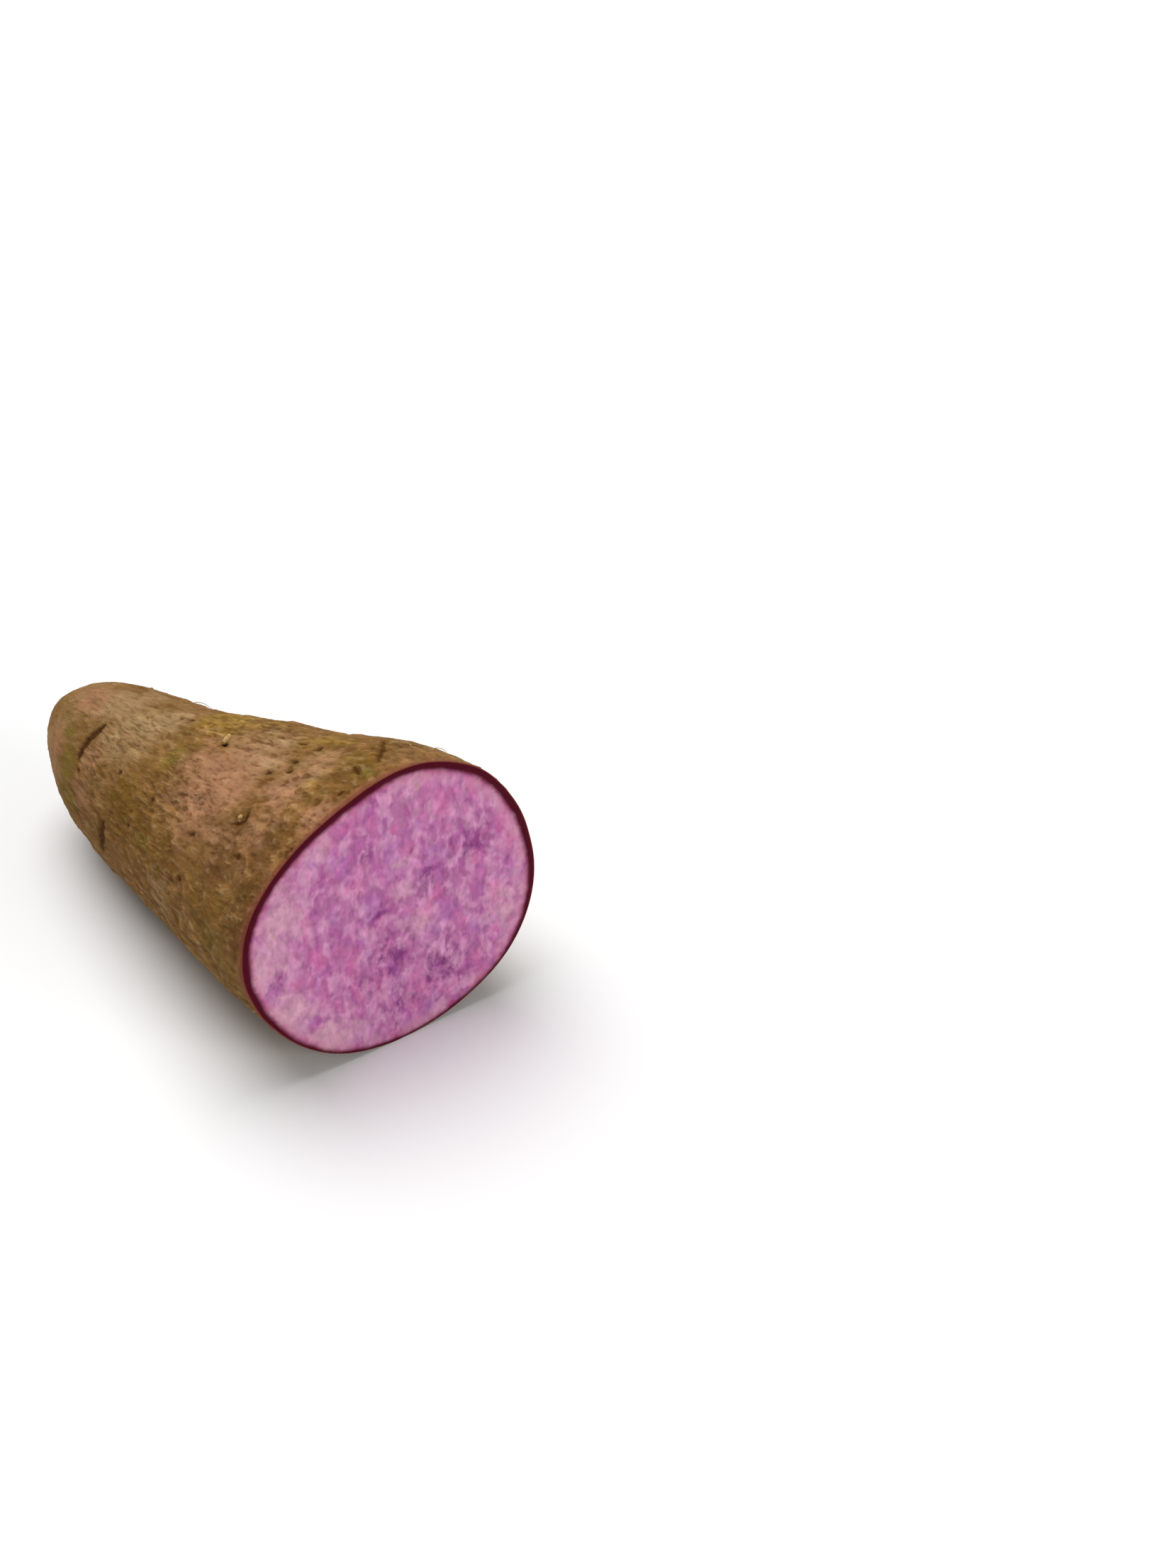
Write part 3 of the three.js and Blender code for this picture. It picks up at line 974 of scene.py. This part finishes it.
# %% Use the shared effects
def use_group(tree, group, place, **values):
    inputs = {"Vector": place, **values}
    return add_node(tree, "ShaderNodeGroup", inputs, node_tree=group).outputs[0]


def mottle(tree, place, size, low=0.35, high=0.65, detail=3.0):
    """A noise spread from 0 to 1 between two limits."""
    return use_group(tree, mottle_group, place, Size=size, Detail=detail, Low=low, High=high)


def swelling(tree, place, size, detail=2.0):
    """A noise about zero."""
    return use_group(tree, swelling_group, place, Size=size, Detail=detail)


def bent(tree, place, size, amount):
    """Pushes a place about by a noise, so that what is drawn there wanders."""
    return use_group(tree, bend_group, place, Size=size, Detail=2.0, Amount=amount)


def wobble(tree, size, amount):
    """A noise about zero that makes an edge uneven."""
    spread = mottle(tree, millimetres(tree), size, 0.2, 0.8)
    return weighted(tree, maths(tree, "SUBTRACT", spread, 0.5), amount)


def wash(tree, colour, share, strength, tint):
    """Lays a thin tint over a colour, where share is above 0."""
    return mix(tree, weighted(tree, share, strength), colour, tint)


print("inputs of a mottle:", [item.name for item in mottle_group.interface.items_tree])

# %% Start and finish a material
def new_material(name, roughness, specular):
    """A material with its node tree and its main shader."""
    material = bpy.data.materials.new(name)
    material.use_nodes = True
    tree = material.node_tree
    shader = tree.nodes["Principled BSDF"]
    shader.inputs["Roughness"].default_value = roughness
    shader.inputs["Specular IOR Level"].default_value = specular
    return material, tree, shader


def add_bump(tree, shader, height, depth, strength=1.0):
    """Relief too fine for the mesh, as deep as depth where height goes from 0 to 1."""
    inputs = {"Height": height, "Strength": strength, "Distance": depth}
    bump = add_node(tree, "ShaderNodeBump", inputs)
    tree.links.new(bump.outputs[0], shader.inputs["Normal"])


print("materials so far:", len(bpy.data.materials))

# %% [markdown]
# ## The bark's material
#
# The colour is built as the bark was: brown cork, the soft patches over it and some mauve and green
# in it. Painted shade darkens it toward the underside. Painted highlights on the crinkles' tops and
# painted shade in their hollows follow, then one tone with painted shade in the creases and a
# painted highlight on the folds. Fine wrinkles and bare specks come from noises too small for the
# mesh, and the marks are stained with soil and darkened with painted shade. Beside the cut the bark
# turns reddish. It stays dry and dull. A bump carries on the grain where the mesh stops.

# %% Lay the bark's broad colours
PATCH_TINTS = {  # each patch's tint, and the size in mm of the noise that breaks its edge up
    "olive": (paint(116, 84, 26), 7),
    "umber": (paint(94, 62, 24), 5),
    "ochre": (paint(155, 121, 50), 6),
    "grey": (paint(167, 136, 95), 6),
    "green": (paint(120, 102, 36), 4),
    "pink": (paint(168, 121, 88), 8),
}


def patch(tree, base, name, tint, size):
    """Mixes a patch's tint in where its attribute and a noise together are strong enough."""
    broken = mottle(tree, millimetres(tree, (1.5, 1, 1)), size, 0.25, 0.75)
    strength = total(tree, attribute(tree, name), weighted(tree, broken, 0.55))
    return mix(tree, ramp(tree, strength, 0.45, 1.25), base, tint)


def cork_colour_and_underside_shade(tree, lengthwise):
    """Brown cork with its patches and stains, and painted shade that darkens it toward the
    underside.
    """
    even = millimetres(tree)
    colour = mix(tree, mottle(tree, even, 15), paint(124, 87, 40), paint(142, 104, 58))
    for name, (tint, size) in PATCH_TINTS.items():
        colour = patch(tree, colour, name, tint, size)
    mauve = mottle(tree, even, 5, 0.48, 0.75)
    colour = wash(tree, colour, mauve, 0.35, paint(154, 106, 78))
    green = mottle(tree, unrolled_place(tree, (1.6, 1, 1)), 6, 0.55, 0.75)
    colour = wash(tree, colour, green, 0.35, paint(106, 86, 26))
    stain = mottle(tree, lengthwise, 2.6, 0.48, 0.75)
    colour = wash(tree, colour, stain, 0.42, paint(90, 64, 20))
    # Painted shade: the colour is washed darker from 68 mm above the floor down to 16 mm, so the
    # underside looks shaded.
    return wash(tree, colour, ramp(tree, above_floor(tree), 68, 16), 0.36, paint(104, 72, 24))


print("tints for patches:", len(PATCH_TINTS))

# %% Colour the marks and the bark beside the cut
def specks(tree, place, spacing, radius, shown):
    """1 in small ragged specks: one in each cell of a scatter, in a share of the cells."""
    scatter = {"Vector": place, "Scale": 1 / spacing, "Randomness": 1.0}
    cells = add_node(tree, "ShaderNodeTexVoronoi", scatter)
    ragged_edge = weighted(tree, swelling(tree, place, radius), 1.6 * radius / spacing)
    away = total(tree, cells.outputs["Distance"], ragged_edge)
    spot = ramp(tree, away, radius / spacing, 0.2 * radius / spacing)
    chosen = ramp(tree, cells.outputs["Color"], 1 - shown, 1.15 - shown)
    return maths(tree, "MULTIPLY", spot, chosen)


def soil_and_shade_in_marks(tree, colour):
    """Soil and painted shade in pits and gashes: a faint soil stain round them, a dark one in them.
    """
    away = total(tree, attribute(tree, "mark"), wobble(tree, 0.9, 0.5))
    colour = wash(tree, colour, ramp(tree, away, 2.1, 1.0), 0.45, paint(106, 72, 26))
    # The dark wash inside the pits and gashes is soil together with painted shade.
    return wash(tree, colour, ramp(tree, away, 1.25, 0.4), 0.9, paint(72, 40, 10))


def redden_edge(tree, colour):
    """Beside the cut the maroon layer shows through the bark."""
    behind = attribute(tree, "behind_cut")
    broken = mottle(tree, millimetres(tree), 3, 0.1, 0.7)
    skin_edge = maths(tree, "MULTIPLY", ramp(tree, behind, 4.5, 0.0), broken)
    colour = wash(tree, colour, skin_edge, 0.75, paint(150, 90, 66))
    return wash(tree, colour, ramp(tree, behind, 2.3, 0.2), 0.6, paint(110, 54, 40))


print("marks to stain with soil:", len(marks))

# %% Paint the bark
def make_bark():
    material, tree, shader = new_material("bark", 0.82, 0.12)
    lengthwise = bent(tree, unrolled_place(tree, (1.8, 1, 1)), 2.8, 1.8)
    rise = attribute(tree, "rise")
    wrinkled_share = attribute(tree, "wrinkled")
    swell = swelling(tree, lengthwise, 1.4, 1.5)
    fine = swelling(tree, lengthwise, 0.7)
    dots = specks(tree, lengthwise, 4.2, 0.6, 0.35)

    colour = cork_colour_and_underside_shade(tree, lengthwise)
    # Painted highlight: the tops of the fine crinkles are washed paler.
    ridge = maths(tree, "MULTIPLY", ramp(tree, swell, 0.04, 0.2), wrinkled_share)
    colour = wash(tree, colour, ridge, 0.28, paint(188, 154, 114))
    # Painted shade: the hollows of the fine crinkles are washed darker.
    crinkle_shade = maths(tree, "MULTIPLY", ramp(tree, swell, -0.02, -0.16), wrinkled_share)
    colour = wash(tree, colour, crinkle_shade, 0.6, paint(98, 60, 16))
    # Painted shade and painted highlight: the tone darkens the bark where the folds are low and
    # lightens it where they are high.
    tone = total(tree, 1.03, weighted(tree, rise, 0.2), weighted(tree, fine, 0.13))
    colour = mix(tree, 1.0, colour, tone, "MULTIPLY")
    colour = wash(tree, colour, dots, 0.6, paint(74, 44, 14))
    colour = redden_edge(tree, soil_and_shade_in_marks(tree, colour))
    tree.links.new(colour, shader.inputs["Base Color"])

    roughness = maths(tree, "SUBTRACT", 0.9, weighted(tree, rise, 0.05))
    tree.links.new(roughness, shader.inputs["Roughness"])
    crinkle = total(tree, swell, weighted(tree, fine, 0.1))
    crinkle = maths(tree, "MULTIPLY", crinkle, wrinkled_share)
    add_bump(tree, shader, total(tree, crinkle, weighted(tree, dots, -0.14)), 0.9 * MM)
    return material


bark = make_bark()
print("bark nodes:", len(bark.node_tree.nodes))

# %% [markdown]
# ## The flesh's material
#
# Fresh cut yam is moist and opaque. Its purple is uneven, like watercolour: clouds a few
# millimetres wide, paler where there is more starch, with small deeper strokes where the knife
# crossed a strand. A maroon layer and a thin cork close it off. Those two follow the distance under
# the bark, so they keep their width all the way round.

# %% Cloud the flesh
def flesh_colour(tree, upright, cloud):
    """Pale, deep, pinker and bluer clouds, then the purple and the starchy zones."""
    even = millimetres(tree)
    colour = mix(tree, mottle(tree, even, 13, 0.38, 0.62), paint(172, 98, 150), paint(184, 116, 160))
    colour = wash(tree, colour, cloud, 0.8, paint(204, 146, 180))
    deep = mottle(tree, upright, 3.0, 0.5, 0.68, 2.0)
    colour = wash(tree, colour, deep, 0.65, paint(154, 72, 134))
    move = {"Vector": upright, "Location": (40, 0, 0)}
    aside = add_node(tree, "ShaderNodeMapping", move).outputs[0]
    pinker = mottle(tree, aside, 5.2, 0.48, 0.68)
    colour = wash(tree, colour, pinker, 0.5, paint(202, 104, 154))
    bluer = mottle(tree, aside, 7.0, 0.48, 0.34)
    colour = wash(tree, colour, bluer, 0.4, paint(160, 100, 168))
    blotch = weighted(tree, mottle(tree, upright, 2.4, 0.3, 0.72), 0.8)
    purple = total(tree, weighted(tree, attribute(tree, "purple"), 0.9), blotch)
    colour = wash(tree, colour, ramp(tree, purple, 0.7, 1.6), 0.88, paint(120, 46, 112))
    grains = weighted(tree, mottle(tree, even, 4, 0.35, 0.7), 0.5)
    starch = total(tree, attribute(tree, "starch"), grains)
    return wash(tree, colour, ramp(tree, starch, 0.4, 1.15), 0.8, paint(200, 152, 168))


CORTEX_DEPTH = 7.0  # mm


def close_with_bark(tree, colour):
    """A pale margin, a rosy halo, the maroon layer and the cork, each nearer the rim."""
    even = millimetres(tree)
    under = attribute(tree, "under_bark")
    thicker_below = weighted(tree, ramp(tree, above_floor(tree), 40, 4), 1.1)
    depth = total(tree, under, wobble(tree, 5, 0.4), thicker_below)
    margin = ramp(tree, depth, CORTEX_DEPTH, 2.0)
    cortex = maths(tree, "MULTIPLY", margin, mottle(tree, even, 5, 0.35, 0.6))
    colour = wash(tree, colour, cortex, 0.6, paint(206, 152, 168))
    halo = maths(tree, "MULTIPLY", ramp(tree, depth, 4.2, 2.2), mottle(tree, even, 3, 0.3, 0.65))
    colour = wash(tree, colour, halo, 0.7, paint(168, 72, 116))
    colour = mix(tree, ramp(tree, depth, 2.9, 1.35), colour, paint(72, 0, 22))
    return mix(tree, ramp(tree, under, 0.26, 0.08), colour, paint(112, 48, 40))


print("points in the layers under the bark:", int((on_face & (under_bark < CORTEX_DEPTH)).sum()))

# %% Paint the flesh
def make_flesh():
    material, tree, shader = new_material("flesh", 0.55, 0.05)
    upright = bent(tree, millimetres(tree, (1, 1, 1.5)), 4.0, 1.8)
    cloud = mottle(tree, upright, 3.6, 0.4, 0.62, 2.0)
    fleck = swelling(tree, upright, 1.7, 1.3)
    fibre = swelling(tree, millimetres(tree, (1, 1, 2.2)), 0.9, 1.0)

    colour = flesh_colour(tree, upright, cloud)
    tone = total(tree, 0.98, weighted(tree, fleck, 0.85), weighted(tree, fibre, 0.17))
    colour = mix(tree, 1.0, colour, tone, "MULTIPLY")
    tree.links.new(close_with_bark(tree, colour), shader.inputs["Base Color"])
    shader.inputs["Subsurface Weight"].default_value = 0.06
    shader.inputs["Subsurface Radius"].default_value = (1.0, 0.4, 0.5)
    shader.inputs["Subsurface Scale"].default_value = 1 * MM

    damp = mottle(tree, millimetres(tree), 2.2, 0.3, 0.7)
    roughness = total(tree, weighted(tree, damp, 0.16), 0.46)
    tree.links.new(roughness, shader.inputs["Roughness"])
    height = total(tree, fleck, weighted(tree, fibre, 0.3), weighted(tree, cloud, 0.1))
    add_bump(tree, shader, height, 0.6 * MM, 0.4)
    return material


flesh = make_flesh()
yam.data.materials.append(bark)
yam.data.materials.append(flesh)
for face in yam.data.polygons:
    face.material_index = int(all(on_face[v] for v in face.vertices))
print("flesh faces:", sum(face.material_index for face in yam.data.polygons))

# %% [markdown]
# ## Root stubs
#
# Feeding roots snap off when the tuber is washed and leave pale blunt pegs. Each is a small
# tapered cylinder, bent over and rooted well inside the bark, where the solid has its peg. Their
# ends are bevelled and roughened, and they are joined in one piece. The two on the near side
# broke off lately and are pale. The rest have weathered, each to its own brown.

# %% Place the root stubs
# Distance from the tip, angle, heading, lean, length out of the bark and radius.
STUBS = [(66.3, 91.4, -60, 76, 2.0, 0.78), (90.4, 122.4, 60, 25, 0.8, 0.85)]
FAR_STUBS = 12
STUB_STRETCH = (12, 110)  # mm from the tip
STUB_ANGLES = (300, 395)
STUB_LENGTHS = (1.1, 1.9)
STUB_RADII = (0.6, 0.85)
STUB_LEANS = (20, 50)
FRESH = 1.0
WEATHERED = (0.0, 0.6)

far_stubs = []
for index in range(FAR_STUBS):
    along = draw_along(mark_draw, index, FAR_STUBS, STUB_STRETCH)
    angle = mark_draw(*STUB_ANGLES)
    heading = mark_draw(0, 360)
    length = mark_draw(*STUB_LENGTHS)
    radius = mark_draw(*STUB_RADII)
    far_stubs.append((along, angle, heading, mark_draw(*STUB_LEANS), length, radius))
stub_paleness = [FRESH] * len(STUBS) + [mark_draw(*WEATHERED) for _ in far_stubs]
print("root stubs placed:", len(STUBS), "and drawn:", len(far_stubs))

# %% Make the root stubs
STUB_SUNK = 2.0  # mm inside the bark
STUB_SIDES = 10
STUB_FOOT, STUB_END = 1.1, 0.75  # radius at the foot and at the end, in shares of its own
STUB_BEVEL = 0.35  # in shares of its radius
STUB_ROUGHNESS = 0.19  # mm
STUB_GRAIN = 1.1 * MM
STUB_OCTAVES = 3

points = moved  # from here on, places are looked up on the finished bark


def make_stub(along, angle, heading, lean, length, radius):
    """A peg rooted at a place on the bark, leaning out of it toward its heading."""
    centre, outward = mark_place(along, angle)
    lengthwise, across = mark_axes(outward)
    turn = math.radians(heading)
    aside = math.cos(turn) * lengthwise + math.sin(turn) * across
    tilt = math.radians(lean)
    out = Vector(math.cos(tilt) * outward + math.sin(tilt) * aside)
    deselect_all()
    bpy.ops.mesh.primitive_cone_add(
        vertices=STUB_SIDES,
        radius1=STUB_FOOT * radius * MM,
        radius2=radius * STUB_END * MM,
        depth=(length + STUB_SUNK) * MM,
        location=Vector(centre) + out * (length - STUB_SUNK) / 2 * MM,
        rotation=out.to_track_quat("Z", "Y").to_euler(),
    )
    stub = bpy.context.object
    bpy.ops.object.transform_apply(location=True, rotation=True, scale=True)
    finish_with(stub, "BEVEL", width=STUB_BEVEL * radius * MM, segments=2, limit_method="ANGLE")
    finish_with(stub, "SUBSURF", levels=2, render_levels=2)
    for vertex in stub.data.vertices:
        rough = noise.fractal(vertex.co / STUB_GRAIN, OCTAVE_FALL, OCTAVE_STEP, STUB_OCTAVES)
        vertex.co += vertex.normal * rough * STUB_ROUGHNESS * MM
    bpy.ops.object.shade_smooth()
    return stub


stubs = [make_stub(*stub) for stub in STUBS + far_stubs]
for stub, paleness in zip(stubs, stub_paleness):
    save_attribute(stub, "pale", np.full(len(stub.data.vertices), paleness))
deselect_all()
for stub in stubs:
    stub.select_set(True)
bpy.context.view_layer.objects.active = stubs[0]
bpy.ops.object.join()
root_stubs = bpy.context.object
root_stubs.name = "root_stubs"
print("root stubs:", len(stubs), "faces:", len(root_stubs.data.polygons))

# %% Paint the root stubs
def make_root_material(name, dull, bright, weathers=False):
    """Dry wood between two colours, browner where it weathers, with some dirt on it."""
    material, tree, shader = new_material(name, 0.85, 0.12)
    even = millimetres(tree)
    colour = mix(tree, mottle(tree, even, 1.2), dull, bright)
    if weathers:
        old = mix(tree, mottle(tree, even, 1.5), paint(96, 66, 30), paint(142, 106, 62))
        colour = mix(tree, attribute(tree, "pale"), old, colour)
    dirt = mottle(tree, even, 0.6, 0.5, 0.7)
    colour = wash(tree, colour, dirt, 0.5, paint(112, 76, 38))
    tree.links.new(colour, shader.inputs["Base Color"])
    add_bump(tree, shader, swelling(tree, even, 0.5), 0.3 * MM)
    return material


root_wood = make_root_material("root_wood", paint(172, 134, 80), paint(216, 180, 126), weathers=True)
root_stubs.data.materials.append(root_wood)
print("root wood nodes:", len(root_wood.node_tree.nodes))

# %% [markdown]
# ## Root hairs
#
# A few thin feeder roots are left whole. They are as fine as thread, dry and pale, and lie close
# along the bark. Each is a bevelled curve through a few points that wander over the skin, turned
# into a mesh. Hair particles would look the same, but they would be lost when the part is exported.

# %% Place the root hairs
# Distance from the tip, angle, heading in degrees from lengthwise, and length in mm.
HAIRS = [(111, 62, 150, 7), (114, 56, 60, 5), (106, 66, 20, 6)]
HAIR_SEED = 7
FAR_HAIRS = 9
HAIR_STRETCH = (10, 114)  # mm from the tip
HAIR_ANGLES = (285, 405)
HAIR_LENGTHS = (4, 11)

hair_draw = seeded_draw(HAIR_SEED)
far_hairs = []
for index in range(FAR_HAIRS):
    along = draw_along(hair_draw, index, FAR_HAIRS, HAIR_STRETCH)
    rest = [hair_draw(*limits) for limits in (HAIR_ANGLES, (0, 360), HAIR_LENGTHS)]
    far_hairs.append((along, *rest))
print("root hairs placed:", len(HAIRS), "and drawn:", len(far_hairs))

# %% Lay each hair over the bark
HAIR_RADIUS = 0.11 * MM
HAIR_ROOT = 0.8  # mm inside the bark
HAIR_STEP = 1.1  # mm from one of its points to the next
HAIR_LIFT = 0.6  # mm more from the skin at its loosest than at its ends
HAIR_GAP = 0.1  # mm from the skin at its ends
HAIR_BEND = 0.55  # radians that it turns at most in a step
CUT_MARGIN = 0.6 * MM


def lay_hair(along, angle, heading, length):
    """A hair's points: rooted under the skin at its start, then wandering over it."""
    centre, outward = mark_place(along, angle)
    turn = math.radians(heading)
    places = [centre - outward * HAIR_ROOT * MM]
    steps = max(5, round(length / HAIR_STEP))
    for step in range(steps):
        lengthwise, across = mark_axes(outward)
        lift = HAIR_LIFT * math.sin(math.pi * (step + 0.6) / steps) + HAIR_GAP
        place = centre + outward * lift * MM
        places.append(np.clip(place, low + HAIR_RADIUS, high - HAIR_RADIUS))
        turn += hair_draw(-HAIR_BEND, HAIR_BEND)
        way = math.cos(turn) * lengthwise + math.sin(turn) * across
        ahead = centre + way * length / steps * MM
        nearest = int(np.argmin(((points - ahead) ** 2).sum(1)))
        if behind_cut[nearest] < CUT_MARGIN:
            break
        outward = normals[nearest]
        centre = ahead + outward * ((points[nearest] - ahead) @ outward)
    return places


hair_paths = [lay_hair(*hair) for hair in HAIRS + far_hairs]
print("points along the hairs:", [len(path) for path in hair_paths])

# %% Make the root hairs
HAIR_TAPER = 0.6  # how much thinner a hair gets toward its end
HAIR_ORDER = 4  # how many of its points pull on each stretch of the curve

hair_curve = bpy.data.curves.new("root_hairs", "CURVE")
hair_curve.dimensions = "3D"
hair_curve.bevel_depth = HAIR_RADIUS
hair_curve.bevel_resolution = 1
hair_curve.resolution_u = 4
hair_curve.use_fill_caps = True
for path in hair_paths:
    spline = hair_curve.splines.new("NURBS")
    spline.points.add(len(path) - 1)
    spline.use_endpoint_u = True
    spline.order_u = HAIR_ORDER
    for index, place in enumerate(path):
        spline.points[index].co = (*place, 1)
        spline.points[index].radius = 1 - HAIR_TAPER * index / len(path)
root_hairs = bpy.data.objects.new("root_hairs", hair_curve)
bpy.context.scene.collection.objects.link(root_hairs)
make_active(root_hairs)
bpy.ops.object.convert(target="MESH")
bpy.ops.object.shade_smooth()
root_hairs = bpy.context.object
root_hair = make_root_material("root_hair", paint(160, 128, 82), paint(206, 178, 130))
root_hairs.data.materials.append(root_hair)
print("root hairs:", len(hair_paths), "faces:", len(root_hairs.data.polygons))

# %% [markdown]
# ## Floor and light
#
# The part is shown on a plain white floor under a wide soft light above and to the left of the
# camera, with a weaker one from the right. Both are suns with a wide angle, because lamps that hang
# near would leave the far floor dark. The world lights the shadows a little and looks as white as
# the floor, so no horizon shows.

# %% Lay the floor
FLOOR_SIZE = 8
FLOOR_DROP = 0.02 * MM
FLOOR_WHITE = 0.88

deselect_all()
bpy.ops.mesh.primitive_plane_add(size=FLOOR_SIZE, location=(0, 0, -FLOOR_DROP))
floor = bpy.context.object
floor.name = "floor"
floor_material, _, floor_shader = new_material("floor_white", 0.9, 0.1)
floor_shader.inputs["Base Color"].default_value = (FLOOR_WHITE, FLOOR_WHITE, FLOOR_WHITE, 1)
floor.data.materials.append(floor_material)
floor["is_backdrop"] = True
print("floor:", FLOOR_SIZE, "m wide")

# %% Hang the lights
# Place in metres, width in the sky in degrees, and strength.
LIGHTS = {
    "key": ((-0.4, 0.15, 1.3), 54, 2.78),
    "fill": ((1.3, 0.1, 0.4), 30, 1.3),
}

for name, (place, width, strength) in LIGHTS.items():
    light_data = bpy.data.lights.new(name, "SUN")
    light_data.angle = math.radians(width)
    light_data.energy = strength
    light = bpy.data.objects.new(name, light_data)
    light.rotation_mode = "QUATERNION"
    light.rotation_quaternion = (Vector(place) - FACE_POINT).to_track_quat("Z", "Y")
    bpy.context.scene.collection.objects.link(light)
print("lights:", list(LIGHTS))

# %% Make the world
SKY_STRENGTH = 0.26
WHITE = (1, 1, 1, 1)

world = bpy.data.worlds.new("studio")
world.use_nodes = True
sky_tree = world.node_tree
sky = sky_tree.nodes["Background"]
sky.inputs["Color"].default_value = WHITE
sky.inputs["Strength"].default_value = SKY_STRENGTH
backdrop = add_node(sky_tree, "ShaderNodeBackground", {"Color": WHITE, "Strength": 1.0})
seen = add_node(sky_tree, "ShaderNodeLightPath").outputs["Is Camera Ray"]
shaders = {0: seen, 1: sky.outputs[0], 2: backdrop.outputs[0]}
both = add_node(sky_tree, "ShaderNodeMixShader", shaders)
sky_tree.links.new(both.outputs[0], sky_tree.nodes["World Output"].inputs["Surface"])
bpy.context.scene.world = world
bpy.context.scene.view_settings.view_transform = "Standard"
print("sky strength:", SKY_STRENGTH)

# %% [markdown]
# ## Hand the pieces over
#
# The guide shell was only for measuring and is removed. The yam's mesh stands for the packed
# solid, and all three pieces ride on its one body.

# %% Tie the pieces to the frame
bpy.data.objects.remove(guide)
for piece in (yam, root_stubs, root_hairs):
    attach(piece, "root")
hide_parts(NODE)

dressed_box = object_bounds()
sizes = {"solid": [list(c) for c in solid_box], "dressed": [list(c) for c in dressed_box]}
for name, corners in sizes.items():
    print(name, "box in mm:", [round(v / MM, 2) for corner in corners for v in corner])
